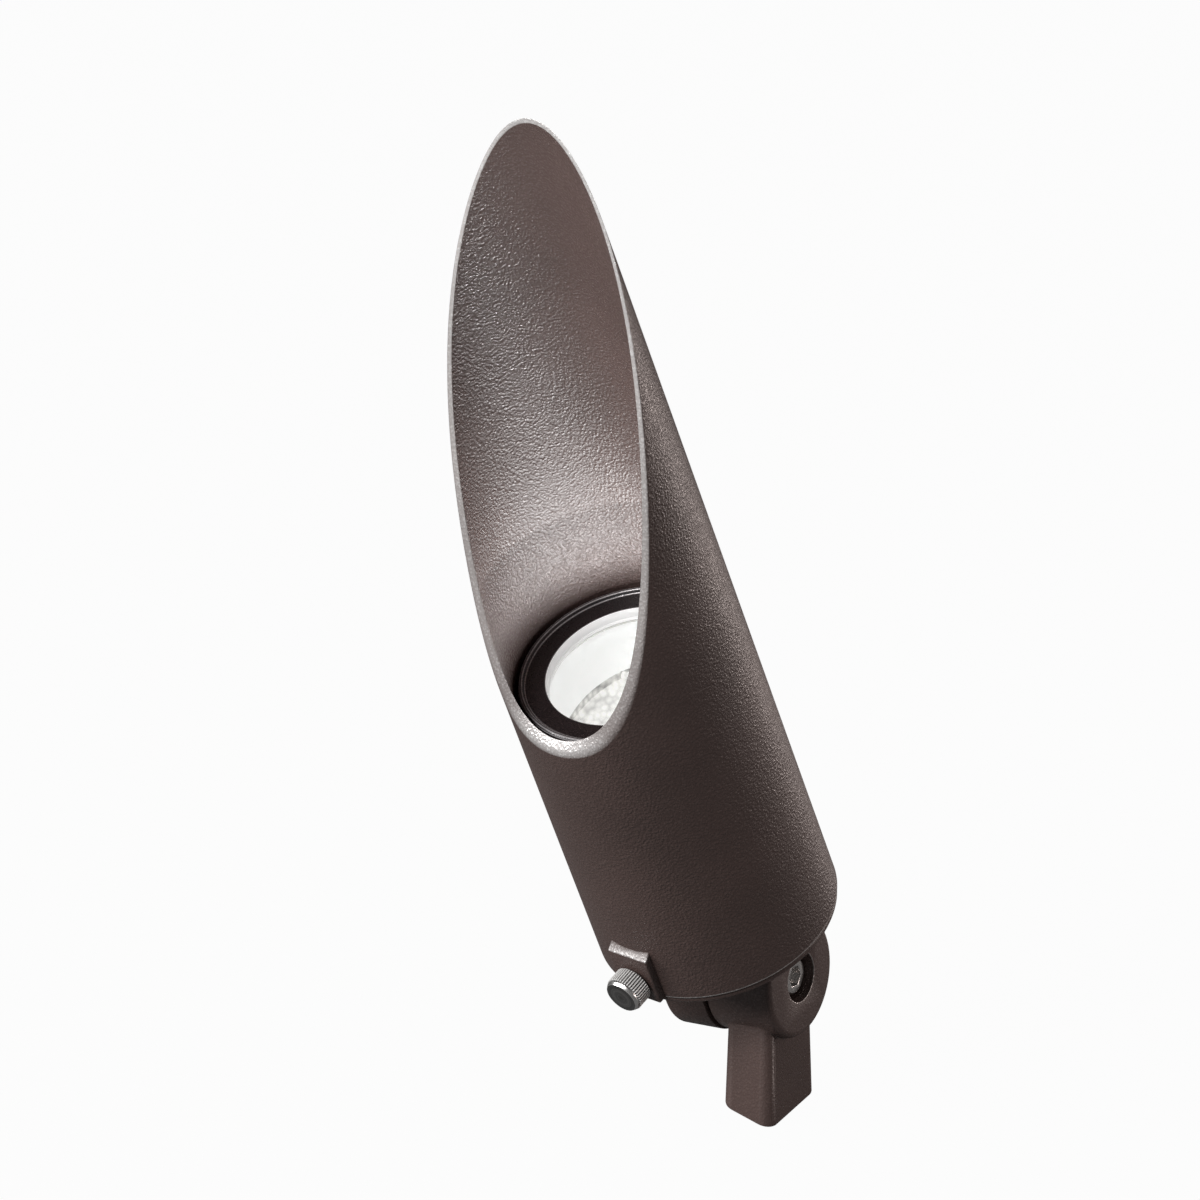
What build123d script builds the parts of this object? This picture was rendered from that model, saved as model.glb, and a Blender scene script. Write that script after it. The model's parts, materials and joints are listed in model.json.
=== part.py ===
"""Landscape spotlight: a lamp head with a slant-cut shroud on a single-sided knuckle and stem.

Frame: +Z up, origin at the mouth of the thread in the stem, pivot axis along X.
The head leans towards -Y, the side that its shroud opens to.
"""
import os
from math import cos, pi, radians, sin

from build123d import *

os.makedirs("parts", exist_ok=True)

# Pose of the head
head_lean = 30.9            # head axis from upright, towards -Y
shroud_turn = -9.5          # shroud's opening, turned about the head axis
pivot_height = 29.5         # pivot above the mouth of the stem's thread
head_offset = -9.1          # head axis from the stem's axis, along X

# Clearances
running_gap = 0.05          # radial gap of a turning or sliding fit
seat_gap = 0.05             # between pieces that stay together
free_gap = 0.3              # between pieces that move past each other
face_gap = 0.1              # between flat faces that turn on each other

# Stem and its ear
ear_radius = 16.2
ear_thickness = 19.2
ear_edge = 2.0
ear_step = 3.15             # ear beyond the post's top, at each face
post_depth = 22.2           # along Y, at its top
post_corner = 2.5
post_flare = 2.0            # degrees, widening downwards
post_start = 6.0            # below the pivot, inside the ear
end_drop = 4.6              # slanted end below the thread's mouth, on the axis
end_rise_x = 0.31           # slope of the slanted end towards -X
end_rise_y = 0.19           # slope of the slanted end towards +Y
thread_radius = 5.0
thread_length = 14.0
insert_wall = 0.75

# Pivot screw and its washers
pivot_bolt_radius = 3.0
bolt_head_radius = 5.0
bolt_head_height = 6.0
bolt_socket_size = 5.0
bolt_socket_depth = 3.0
bolt_recess = 1.8           # head below the ear's face
bolt_grip = 9.5             # length in the boss
run_out = 1.5               # screw hole beyond the screw's end
bolt_edge = 0.6
counterbore_room = 1.6      # round the screw's head
lock_washer_radius = 5.4
lock_washer_thickness = 1.6
lock_washer_slit = 1.0
flat_washer_room = 0.7      # round the washer, in the counterbore
flat_washer_thickness = 1.6
friction_washer_radius = 12.5
friction_washer_thickness = 0.6

# End cap and the boss below it
boss_thickness = 12.7
boss_step = 0.55            # boss beyond the ear, all round
boss_round = 1.5
cap_clear = 3.0             # between the ear and the cap's underside
flange_step = 0.5           # shroud beyond the cap's flange
flange_thickness = 1.8
flange_bevel = 0.5
floor_thickness = 3.4
spigot_height = 10.0
cap_screw_radius = 1.5
cap_screw_head_radius = 2.8
cap_screw_head_height = 1.7
cap_screw_grip = 7.0
cap_screw_socket = 1.2
cap_screw_count = 3
seal_section = 0.9

# Lamp housing
lamp_room = 1.5             # air round the lamp's rim
housing_wall = 2.0
housing_length = 82.0
lug_radius = 3.6
lug_length = 11.0
lug_sink = 0.8              # lug's reach into the housing's wall
groove_depth = 0.6
glide_width = 4.0
glide_low = 20.0            # lower glide ring above the housing's foot
glide_from_top = 12.0       # upper glide ring below the housing's top
split_room = 1.4            # beside the thumbscrew's tip, in the rings' gaps

# Shroud
shroud_room = 2.0           # between the housing and the shroud
shroud_wall = 1.6
hood_wall = 2.4             # wall beside the lens
hood_drop = 3.0             # thicker wall begins below the housing's top
hood_taper = 2.0            # length over which the wall thickens
hood_rise = 42.0            # above the cut's lowest point, where the bore starts to open
hood_tip_wall = 0.35        # wall at the tip
cut_drop = 2.0              # lowest point of the cut below the lens ring's top
cut_rise = 155.6            # tip of the cut above its lowest point
cut_belly = 89.8            # middle of the cut's curve, above its lowest point
cut_slope_front = 0.93      # rise of the cut at its front
cut_slope_back = 2.93       # rise of the cut at its back
cut_over = 4.0              # cutting shape beyond the tube
pad_width = 12.6
pad_height = 14.8           # of its face
pad_slope = 0.75            # rise of its top, inwards
pad_stand = 1.7             # pad's face beyond the shroud

# Thumbscrew
lock_height = 5.9           # screw axis above the shroud's foot
lock_radius = 2.4
knob_radius = 5.25
knob_gap = 0.25
knurl_length = 5.4
knurl_count = 44
knurl_depth = 0.35
knob_bevel = 0.8
knob_bevel_angle = 30.0
tip_radius = 2.1
tip_length = 1.2
tip_pin_radius = 1.1
tip_pin_length = 2.6

# Lens and its ring
ring_height = 7.2
ring_rim_width = 1.2
ring_rim_height = 1.0
ring_wall = 1.65
ring_land = 3.5             # lip's reach over the lens
ring_lip = 3.0
ring_spigot = 6.5
lens_thickness = 3.0
lens_dome = 1.4
lens_gasket_thickness = 0.8
clip_section = 1.1
clip_depth = 0.7            # clip's reach into the ring's wall
clip_width = 1.9

# Lamp
lamp_rim_radius = 24.9
lamp_rim_height = 6.5
lamp_cone_height = 27.0
lamp_neck_radius = 10.5
lamp_neck_height = 4.0
lamp_fin_count = 24
lamp_fin_slot = 1.3
lamp_core_radius = 13.0
lamp_lip = 1.6
lamp_recess_depth = 6.2
optic_thickness = 2.6
optic_dome_radius = 4.6
optic_dome_count = 6
optic_dome_inset = 9.8
optic_below_rim = 0.9
board_room = 5.3
board_thickness = 1.6
cushion_length = 15.0
cushion_land = 2.1          # cushion's reach over the lamp's rim
pin_radius = 0.75
pin_spacing = 5.33
pin_length = 7.4

# Lamp socket, its bracket and the leads
socket_length = 14.0
socket_width = 10.0
socket_height = 9.8
socket_round = 1.0
socket_ear_width = 9.0
socket_ear_round = 2.0
socket_ear_edge = 2.4       # ear beyond its screw
socket_ear_height = 3.5
socket_screw_room = 2.8     # screw's axis from the socket's side
socket_screw_radius = 1.2
socket_screw_head = 2.1
bracket_sheet = 1.0
bracket_width = 9.0
bracket_side = 0.3          # bracket beyond the socket's ears
bracket_head_room = 0.1     # between the bracket's legs and its screws
bracket_edge = 1.9          # bracket's foot beyond its screw
bracket_room = 1.0          # between the bracket's feet and the cap's wall
bracket_screw_radius = 1.4
bracket_screw_head = 2.0
bracket_screw_grip = 2.4
small_head_height = 1.4
lead_radius = 0.8
grommet_x = 5.6
grommet_y = 11.4
grommet_neck = 3.4
grommet_flange = 4.1
grommet_lip = 1.0
grommet_bore = 2.5

# Heights along the head axis, above the pivot
cap_underside = ear_radius + cap_clear
housing_foot = cap_underside + flange_thickness
cap_floor = cap_underside + floor_thickness
spigot_top = housing_foot + spigot_height
shroud_foot = housing_foot + free_gap
housing_top = housing_foot + housing_length
ring_top = housing_top + ring_height
ring_face = ring_top - ring_rim_height
lip_underside = ring_face - ring_lip
lens_top = lip_underside - lens_gasket_thickness
lens_foot = lens_top - lens_thickness
spigot_end = housing_top - ring_spigot
clip_foot = lens_foot - seat_gap - clip_section
lamp_top = clip_foot - cushion_length - 2 * seat_gap
lamp_rim_foot = lamp_top - lamp_rim_height
lamp_cone_foot = lamp_rim_foot - lamp_cone_height
lamp_foot = lamp_cone_foot - lamp_neck_height
socket_top = lamp_foot - seat_gap
socket_foot = socket_top - socket_height
cut_low = ring_top - cut_drop
cut_tip = cut_low + cut_rise
hood_foot = housing_top - hood_drop
groove_mid = housing_foot + spigot_height / 2
lead_drop = socket_foot - bracket_sheet - cap_floor - grommet_lip
lead_bend = lead_drop / 4

# Widths that follow from the pieces they fit
post_width = ear_thickness - 2 * ear_step
counterbore_radius = bolt_head_radius + counterbore_room
flat_washer_radius = counterbore_radius - flat_washer_room
socket_screw_spacing = socket_length + 2 * socket_screw_room
socket_ear_length = socket_screw_spacing + 2 * socket_ear_edge
bracket_span = socket_ear_length + 2 * bracket_side
bracket_screw_spacing = bracket_span + 2 * (bracket_screw_head + bracket_head_room)
bracket_foot = bracket_screw_spacing / 2 + bracket_edge
housing_bore = lamp_rim_radius + lamp_room
housing_radius = housing_bore + housing_wall
shroud_bore = housing_radius + shroud_room
shroud_radius = shroud_bore + shroud_wall
hood_bore = shroud_radius - hood_wall
boss_radius = ear_radius + boss_step
flange_radius = shroud_radius - flange_step
spigot_radius = housing_bore - seat_gap
spigot_bore = bracket_foot + bracket_room
groove_floor = spigot_radius - 2 * seal_section
cap_screw_circle = (spigot_bore + groove_floor) / 2
ring_bore = spigot_radius - ring_wall
lens_opening = ring_bore - ring_land
clip_inner = ring_bore - clip_width
lamp_recess_radius = lamp_rim_radius - lamp_lip
board_radius = lamp_recess_radius - board_room
optic_dome_circle = lamp_recess_radius - optic_dome_inset
cushion_inner = lamp_rim_radius - cushion_land
glide_split = 2 * (tip_radius + split_room)
glide_bore = housing_radius - groove_depth + running_gap
glide_radius = shroud_bore - running_gap
insert_radius = thread_radius + insert_wall
bolt_hole = pivot_bolt_radius + free_gap

# Places along X
ear_face = ear_thickness / 2
ear_inside = -ear_thickness / 2
boss_face = ear_inside - friction_washer_thickness - 2 * face_gap
head_top_x = ear_face - bolt_recess
head_seat_x = head_top_x - bolt_head_height
lock_washer_x = head_seat_x - face_gap - lock_washer_thickness
flat_washer_x = lock_washer_x - flat_washer_thickness
counterbore_depth = ear_face - flat_washer_x
bolt_end = boss_face - bolt_grip

# Planes and axes of the head
lean = radians(head_lean)
turn = radians(shroud_turn)
pivot = Vector(head_offset, 0, pivot_height)
head_dir = Vector(0, -sin(lean), cos(lean))
back_dir = Vector(0, cos(lean), sin(lean))
front_dir = back_dir * -1
open_side = Vector(1, 0, 0) * sin(turn) + front_dir * cos(turn)
open_cross = Vector(1, 0, 0) * cos(turn) - front_dir * sin(turn)
head = Plane(origin=pivot, x_dir=(1, 0, 0), z_dir=head_dir)
meridian = Plane(origin=pivot, x_dir=(1, 0, 0), z_dir=front_dir)
boss_side = Plane(origin=(0, 0, pivot_height), x_dir=back_dir, z_dir=(1, 0, 0))
turned = Plane(origin=pivot, x_dir=open_cross, z_dir=head_dir)
shroud_side = Plane(origin=pivot, x_dir=open_side * -1, z_dir=open_cross)
lock_centre = pivot + head_dir * (shroud_foot + lock_height)
lock_plane = Plane(origin=lock_centre, x_dir=open_cross, z_dir=open_side)
ear_plane = Plane(origin=(0, 0, pivot_height), x_dir=(0, 1, 0), z_dir=(1, 0, 0))
head_axis = Axis(pivot, head_dir)

# Stem: a round ear on a flared post, with a slanted lower end
with BuildPart() as stem:
    with BuildSketch(ear_plane.offset(ear_inside)):
        Circle(ear_radius)
    extrude(amount=ear_thickness)
    fillet(stem.edges().filter_by(GeomType.CIRCLE).sort_by(Axis.X)[-1], ear_edge)
    with BuildSketch(Plane.XY.offset(pivot_height - post_start)):
        RectangleRounded(post_width, post_depth, post_corner)
    extrude(amount=-(pivot_height - post_start + end_drop + post_width), taper=-post_flare)
    end_plane = Plane(origin=(0, 0, -end_drop), z_dir=(end_rise_x, -end_rise_y, 1))
    split(bisect_by=end_plane, keep=Keep.TOP)
    with BuildSketch(Plane.XY.offset(-end_drop - post_width)):
        Circle(insert_radius + seat_gap)
    extrude(amount=end_drop + post_width + thread_length + seat_gap, mode=Mode.SUBTRACT)
    with BuildSketch(ear_plane.offset(ear_inside)):
        Circle(bolt_hole)
    extrude(amount=ear_thickness, mode=Mode.SUBTRACT)
    with BuildSketch(ear_plane.offset(ear_face)):
        Circle(counterbore_radius)
    extrude(amount=-counterbore_depth, mode=Mode.SUBTRACT)
stem.part.label = "stem"
export_step(stem.part, "parts/stem.step")

# Threaded bush in the stem, for the pipe or stake that carries the light
with BuildPart() as thread_bush:
    with BuildSketch(Plane.XY):
        Circle(insert_radius)
        Circle(thread_radius, mode=Mode.SUBTRACT)
    extrude(amount=thread_length)
thread_bush.part.label = "thread_bush"
export_step(thread_bush.part, "parts/thread_bush.step")

# Friction washer between the ear and the boss
with BuildPart() as friction_washer:
    with BuildSketch(ear_plane.offset(ear_inside)):
        Circle(friction_washer_radius)
        Circle(bolt_hole, mode=Mode.SUBTRACT)
    extrude(amount=-friction_washer_thickness)
friction_washer.part.label = "friction_washer"
export_step(friction_washer.part, "parts/friction_washer.step")

# Flat washer on the floor of the counterbore
with BuildPart() as flat_washer:
    with BuildSketch(ear_plane.offset(flat_washer_x)):
        Circle(flat_washer_radius)
        Circle(bolt_hole, mode=Mode.SUBTRACT)
    extrude(amount=flat_washer_thickness)
flat_washer.part.label = "flat_washer"
export_step(flat_washer.part, "parts/flat_washer.step")

# Split spring washer under the screw's head
with BuildPart() as spring_washer:
    with BuildSketch(ear_plane.offset(lock_washer_x)):
        Circle(lock_washer_radius)
        Circle(bolt_hole, mode=Mode.SUBTRACT)
        with Locations((0, lock_washer_radius)):
            Rectangle(lock_washer_slit, 2 * lock_washer_radius, mode=Mode.SUBTRACT)
    extrude(amount=lock_washer_thickness)
spring_washer.part.label = "spring_washer"
export_step(spring_washer.part, "parts/spring_washer.step")

# Socket head screw that clamps the knuckle, threaded into the boss
with BuildPart() as pivot_screw:
    with BuildSketch(ear_plane.offset(head_seat_x)):
        Circle(bolt_head_radius)
    extrude(amount=bolt_head_height)
    chamfer(pivot_screw.edges().filter_by(GeomType.CIRCLE).sort_by(Axis.X)[-1], bolt_edge)
    with BuildSketch(ear_plane.offset(head_top_x)):
        RegularPolygon(bolt_socket_size / 2, 6, major_radius=False)
    extrude(amount=-bolt_socket_depth, mode=Mode.SUBTRACT)
    with BuildSketch(ear_plane.offset(head_seat_x)):
        Circle(pivot_bolt_radius)
    extrude(amount=bolt_end - head_seat_x)
pivot_screw.part.label = "pivot_screw"
export_step(pivot_screw.part, "parts/pivot_screw.step")

# End cap: a flanged plug with the knuckle's boss cast below it
with BuildPart() as end_cap:
    with BuildSketch(boss_side.offset(boss_face)):
        Circle(boss_radius)
        Rectangle(2 * boss_radius, cap_underside + flange_thickness / 2, align=(Align.CENTER, Align.MIN))
    extrude(amount=-boss_thickness)
    boss_end = end_cap.faces().sort_by(Axis.X)[0]
    fillet(boss_end.edges().sort_by(head_axis)[:-1], boss_round)
    with BuildSketch(meridian):
        with BuildLine():
            Polyline(
                (0, cap_underside),
                (flange_radius - flange_bevel, cap_underside),
                (flange_radius, cap_underside + flange_bevel),
                (flange_radius, housing_foot),
                (spigot_radius, housing_foot),
                (spigot_radius, groove_mid - seal_section),
                (groove_floor, groove_mid - seal_section),
                (groove_floor, groove_mid + seal_section),
                (spigot_radius, groove_mid + seal_section),
                (spigot_radius, spigot_top),
                (spigot_bore, spigot_top),
                (spigot_bore, cap_floor),
                (0, cap_floor),
                close=True,
            )
        make_face()
    revolve(axis=head_axis)
    with BuildSketch(boss_side.offset(boss_face)):
        Circle(pivot_bolt_radius + running_gap)
    extrude(amount=-(bolt_grip + run_out), mode=Mode.SUBTRACT)
    with BuildSketch(head.offset(cap_underside)):
        with PolarLocations(cap_screw_circle, cap_screw_count, start_angle=-90, angular_range=180, endpoint=True):
            Circle(cap_screw_radius + seat_gap)
    extrude(amount=spigot_top - cap_underside, mode=Mode.SUBTRACT)
    with BuildSketch(head.offset(cap_underside)):
        with PolarLocations(cap_screw_circle, cap_screw_count, start_angle=-90, angular_range=180, endpoint=True):
            Circle(cap_screw_head_radius + seat_gap)
    extrude(amount=cap_screw_head_height + seat_gap, mode=Mode.SUBTRACT)
    with BuildSketch(head.offset(cap_underside)):
        with Locations((grommet_x, grommet_y)):
            Circle(grommet_neck + seat_gap)
    extrude(amount=floor_thickness, mode=Mode.SUBTRACT)
    with BuildSketch(head.offset(cap_floor)):
        with GridLocations(bracket_screw_spacing, 0, 2, 1):
            Circle(bracket_screw_radius + seat_gap)
    extrude(amount=-bracket_screw_grip - seat_gap, mode=Mode.SUBTRACT)
end_cap.part.label = "end_cap"
export_step(end_cap.part, "parts/end_cap.step")

# Square-cut seal between the cap's spigot and the housing
with BuildPart() as cap_seal:
    with BuildSketch(head.offset(groove_mid - seal_section + seat_gap)):
        Circle(spigot_radius)
        Circle(groove_floor + seat_gap, mode=Mode.SUBTRACT)
    extrude(amount=2 * (seal_section - seat_gap))
cap_seal.part.label = "cap_seal"
export_step(cap_seal.part, "parts/cap_seal.step")

# Screws that hold the cap to the housing's lugs
with BuildPart() as cap_screws:
    with BuildSketch(head.offset(cap_underside + seat_gap)):
        with PolarLocations(cap_screw_circle, cap_screw_count, start_angle=-90, angular_range=180, endpoint=True):
            Circle(cap_screw_head_radius)
            RegularPolygon(cap_screw_socket, 6, mode=Mode.SUBTRACT)
    extrude(amount=cap_screw_head_height - 2 * seat_gap)
    with BuildSketch(head.offset(cap_underside + cap_screw_head_height / 2)):
        with PolarLocations(cap_screw_circle, cap_screw_count, start_angle=-90, angular_range=180, endpoint=True):
            Circle(cap_screw_radius)
    extrude(amount=spigot_top + cap_screw_grip - cap_underside - cap_screw_head_height / 2)
cap_screws.part.label = "cap_screws"
export_step(cap_screws.part, "parts/cap_screws.step")

# Rubber grommet that lets the leads out of the cap
with BuildPart() as grommet:
    with BuildSketch(head.offset(cap_underside - grommet_lip)):
        with Locations((grommet_x, grommet_y)):
            Circle(grommet_flange)
    extrude(amount=grommet_lip)
    with BuildSketch(head.offset(cap_underside)):
        with Locations((grommet_x, grommet_y)):
            Circle(grommet_neck)
    extrude(amount=floor_thickness)
    with BuildSketch(head.offset(cap_floor)):
        with Locations((grommet_x, grommet_y)):
            Circle(grommet_flange)
    extrude(amount=grommet_lip)
    with BuildSketch(head.offset(cap_underside - grommet_lip)):
        with Locations((grommet_x, grommet_y)):
            Circle(grommet_bore)
    extrude(amount=floor_thickness + 2 * grommet_lip, mode=Mode.SUBTRACT)
grommet.part.label = "grommet"
export_step(grommet.part, "parts/grommet.step")

# Lamp housing: a tube with grooves for the glide rings and lugs for the cap's screws
with BuildPart() as housing:
    lug_reach = housing_bore + lug_sink - cap_screw_circle
    with BuildSketch(meridian):
        with BuildLine():
            groove_radius = housing_radius - groove_depth
            low = housing_foot + glide_low
            high = housing_top - glide_from_top
            Polyline(
                (housing_bore, housing_foot),
                (housing_radius, housing_foot),
                (housing_radius, low),
                (groove_radius, low),
                (groove_radius, low + glide_width),
                (housing_radius, low + glide_width),
                (housing_radius, high),
                (groove_radius, high),
                (groove_radius, high + glide_width),
                (housing_radius, high + glide_width),
                (housing_radius, housing_top),
                (housing_bore, housing_top),
                close=True,
            )
        make_face()
    revolve(axis=head_axis)
    with BuildSketch(head.offset(spigot_top + seat_gap)):
        with PolarLocations(cap_screw_circle, cap_screw_count, start_angle=-90, angular_range=180, endpoint=True):
            Circle(lug_radius)
            Rectangle(lug_reach, 2 * lug_radius, align=(Align.MIN, Align.CENTER))
    extrude(amount=lug_length)
    with BuildSketch(head.offset(spigot_top)):
        with PolarLocations(cap_screw_circle, cap_screw_count, start_angle=-90, angular_range=180, endpoint=True):
            Circle(cap_screw_radius + seat_gap)
    extrude(amount=cap_screw_grip + run_out, mode=Mode.SUBTRACT)
housing.part.label = "housing"
export_step(housing.part, "parts/housing.step")

# Split glide rings that the shroud slides and turns on; their gap lets the thumbscrew's tip pass
with BuildPart() as lower_glide:
    with BuildSketch(turned.offset(housing_foot + glide_low + running_gap)):
        Circle(glide_radius)
        Circle(glide_bore, mode=Mode.SUBTRACT)
        with Locations((0, -glide_radius)):
            Rectangle(glide_split, 4 * (glide_radius - glide_bore), mode=Mode.SUBTRACT)
    extrude(amount=glide_width - 2 * running_gap)
lower_glide.part.label = "lower_glide"
export_step(lower_glide.part, "parts/lower_glide.step")

with BuildPart() as upper_glide:
    with BuildSketch(turned.offset(housing_top - glide_from_top + running_gap)):
        Circle(glide_radius)
        Circle(glide_bore, mode=Mode.SUBTRACT)
        with Locations((0, -glide_radius)):
            Rectangle(glide_split, 4 * (glide_radius - glide_bore), mode=Mode.SUBTRACT)
    extrude(amount=glide_width - 2 * running_gap)
upper_glide.part.label = "upper_glide"
export_step(upper_glide.part, "parts/upper_glide.step")

# Shroud: a tube cut on a long curved slant, with a hood that thins to its tip and a pad for the thumbscrew
with BuildPart() as shroud:
    with BuildSketch(meridian):
        with BuildLine():
            Polyline(
                (shroud_bore, shroud_foot),
                (shroud_radius, shroud_foot),
                (shroud_radius, cut_tip + cut_over),
                (shroud_radius - hood_tip_wall, cut_tip + cut_over),
                (hood_bore, cut_low + hood_rise),
                (hood_bore, hood_foot + hood_taper),
                (shroud_bore, hood_foot),
                close=True,
            )
        make_face()
    revolve(axis=head_axis)
    with BuildSketch(shroud_side):
        with BuildLine():
            quarter = shroud_radius / 2
            front_end = (-shroud_radius - cut_over, cut_low - cut_over * cut_slope_front)
            back_end = (shroud_radius + cut_over, cut_tip + cut_over * cut_slope_back)
            Line(front_end, (-shroud_radius, cut_low))
            Bezier(
                (-shroud_radius, cut_low),
                (-quarter, cut_low + quarter * cut_slope_front),
                (0, cut_low + cut_belly),
                (quarter, cut_tip - quarter * cut_slope_back),
                (shroud_radius, cut_tip),
            )
            Polyline((shroud_radius, cut_tip), back_end, (front_end[0], back_end[1]), front_end)
        make_face()
    extrude(amount=shroud_radius + cut_over, both=True, mode=Mode.SUBTRACT)
    with BuildSketch(shroud_side):
        with BuildLine():
            pad_face = shroud_radius + pad_stand
            pad_root = shroud_bore + shroud_wall / 3
            Polyline(
                (-pad_root, shroud_foot),
                (-pad_face, shroud_foot),
                (-pad_face, shroud_foot + pad_height),
                (-pad_root, shroud_foot + pad_height + pad_slope * (pad_face - pad_root)),
                close=True,
            )
        make_face()
    extrude(amount=pad_width / 2, both=True)
    with BuildSketch(lock_plane.offset(shroud_bore - shroud_wall)):
        Circle(lock_radius)
    extrude(amount=pad_face - shroud_bore + 2 * shroud_wall, mode=Mode.SUBTRACT)
shroud.part.label = "shroud"
export_step(shroud.part, "parts/shroud.step")

# Knurled thumbscrew that locks the shroud
with BuildPart() as lock_screw:
    knob_base = pad_face + knob_gap
    shank_end = housing_radius + free_gap + tip_length
    with BuildSketch(lock_plane.offset(knob_base)):
        Circle(knob_radius)
        with PolarLocations(knob_radius, knurl_count):
            RegularPolygon(knurl_depth, 4, mode=Mode.SUBTRACT)
    extrude(amount=knurl_length)
    with BuildSketch(lock_plane.offset(knob_base + knurl_length)):
        Circle(knob_radius - knurl_depth)
    extrude(amount=knob_bevel, taper=knob_bevel_angle)
    with BuildSketch(lock_plane.offset(shank_end)):
        Circle(lock_radius - running_gap)
    extrude(amount=knob_base - shank_end)
    with BuildSketch(lock_plane.offset(shank_end)):
        Circle(tip_pin_radius + running_gap)
    extrude(amount=tip_pin_length + free_gap, mode=Mode.SUBTRACT)
lock_screw.part.label = "lock_screw"
export_step(lock_screw.part, "parts/lock_screw.step")

# Nylon tip that the thumbscrew presses on the housing
with BuildPart() as lock_tip:
    with BuildSketch(lock_plane.offset(housing_radius + free_gap)):
        Circle(tip_radius)
    extrude(amount=tip_length - face_gap)
    with BuildSketch(lock_plane.offset(housing_radius + free_gap + tip_length - face_gap)):
        Circle(tip_pin_radius)
    extrude(amount=tip_pin_length)
lock_tip.part.label = "lock_tip"
export_step(lock_tip.part, "parts/lock_tip.step")

# Black lens ring with a raised rim, screwed into the housing
with BuildPart() as lens_ring:
    with BuildSketch(meridian):
        with BuildLine():
            rim_inside = housing_radius - ring_rim_width
            clip_groove = ring_bore + clip_depth + seat_gap
            Polyline(
                (lens_opening, ring_face),
                (rim_inside - ring_rim_height / 2, ring_face),
                (rim_inside, ring_top),
                (housing_radius - ring_rim_height / 2, ring_top),
                (housing_radius, ring_top - ring_rim_height / 2),
                (housing_radius, housing_top),
                (housing_bore - seat_gap, housing_top),
                (housing_bore - seat_gap, spigot_end),
                (ring_bore, spigot_end),
                (ring_bore, clip_foot - seat_gap),
                (clip_groove, clip_foot - seat_gap),
                (clip_groove, lens_foot),
                (ring_bore, lens_foot),
                (ring_bore, lip_underside),
                (lens_opening, lip_underside),
                close=True,
            )
        make_face()
    revolve(axis=head_axis)
lens_ring.part.label = "lens_ring"
export_step(lens_ring.part, "parts/lens_ring.step")

# Gasket between the ring's lip and the lens
with BuildPart() as lens_gasket:
    with BuildSketch(head.offset(lens_top)):
        Circle(ring_bore - seat_gap)
        Circle(lens_opening, mode=Mode.SUBTRACT)
    extrude(amount=lens_gasket_thickness)
lens_gasket.part.label = "lens_gasket"
export_step(lens_gasket.part, "parts/lens_gasket.step")

# Domed glass lens
with BuildPart() as lens:
    with BuildSketch(meridian):
        with BuildLine():
            dome_edge = lens_opening - free_gap
            dome_reach = lens_top + lens_dome
            Polyline(
                (0, dome_reach),
                (0, lens_foot),
                (ring_bore - seat_gap, lens_foot),
                (ring_bore - seat_gap, lens_top),
                (dome_edge, lens_top),
            )
            TangentArc((0, dome_reach), (dome_edge, lens_top), tangent=(1, 0))
        make_face()
    revolve(axis=head_axis)
lens.part.label = "lens"
export_step(lens.part, "parts/lens.step")

# Snap ring that holds the lens in its ring
with BuildPart() as lens_clip:
    with BuildSketch(head.offset(clip_foot)):
        Circle(ring_bore + clip_depth)
        Circle(clip_inner, mode=Mode.SUBTRACT)
        with Locations((0, ring_bore)):
            Rectangle(glide_split, 4 * (ring_bore - clip_inner), mode=Mode.SUBTRACT)
    extrude(amount=clip_section)
lens_clip.part.label = "lens_clip"
export_step(lens_clip.part, "parts/lens_clip.step")

# White silicone sleeve that holds the lamp's rim down from the lens clip
with BuildPart() as lamp_cushion:
    with BuildSketch(head.offset(lamp_top + seat_gap)):
        Circle(ring_bore - seat_gap)
        Circle(cushion_inner, mode=Mode.SUBTRACT)
    extrude(amount=cushion_length)
lamp_cushion.part.label = "lamp_cushion"
export_step(lamp_cushion.part, "parts/lamp_cushion.step")

# Lamp: finned heat sink with a recess for its optic
with BuildPart() as lamp_body:
    with BuildSketch(meridian):
        with BuildLine():
            Polyline(
                (0, lamp_foot),
                (lamp_neck_radius, lamp_foot),
                (lamp_neck_radius, lamp_cone_foot),
                (lamp_rim_radius, lamp_rim_foot),
                (lamp_rim_radius, lamp_top),
                (lamp_recess_radius, lamp_top),
                (lamp_recess_radius, lamp_top - lamp_recess_depth),
                (0, lamp_top - lamp_recess_depth),
                close=True,
            )
        make_face()
    revolve(axis=head_axis)
    with BuildSketch(head.offset(lamp_cone_foot)):
        with PolarLocations(lamp_core_radius + lamp_rim_radius / 2, lamp_fin_count):
            Rectangle(lamp_rim_radius, lamp_fin_slot)
    extrude(amount=lamp_cone_height, mode=Mode.SUBTRACT)
    with BuildSketch(head.offset(lamp_foot)):
        with GridLocations(pin_spacing, 0, 2, 1):
            Circle(pin_radius + seat_gap)
    extrude(amount=lamp_neck_height / 2, mode=Mode.SUBTRACT)
lamp_body.part.label = "lamp_body"
export_step(lamp_body.part, "parts/lamp_body.step")

# Light-emitting board on the floor of the lamp's recess
with BuildPart() as lamp_board:
    with BuildSketch(head.offset(lamp_top - lamp_recess_depth)):
        Circle(board_radius)
    extrude(amount=board_thickness)
lamp_board.part.label = "lamp_board"
export_step(lamp_board.part, "parts/lamp_board.step")

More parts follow.
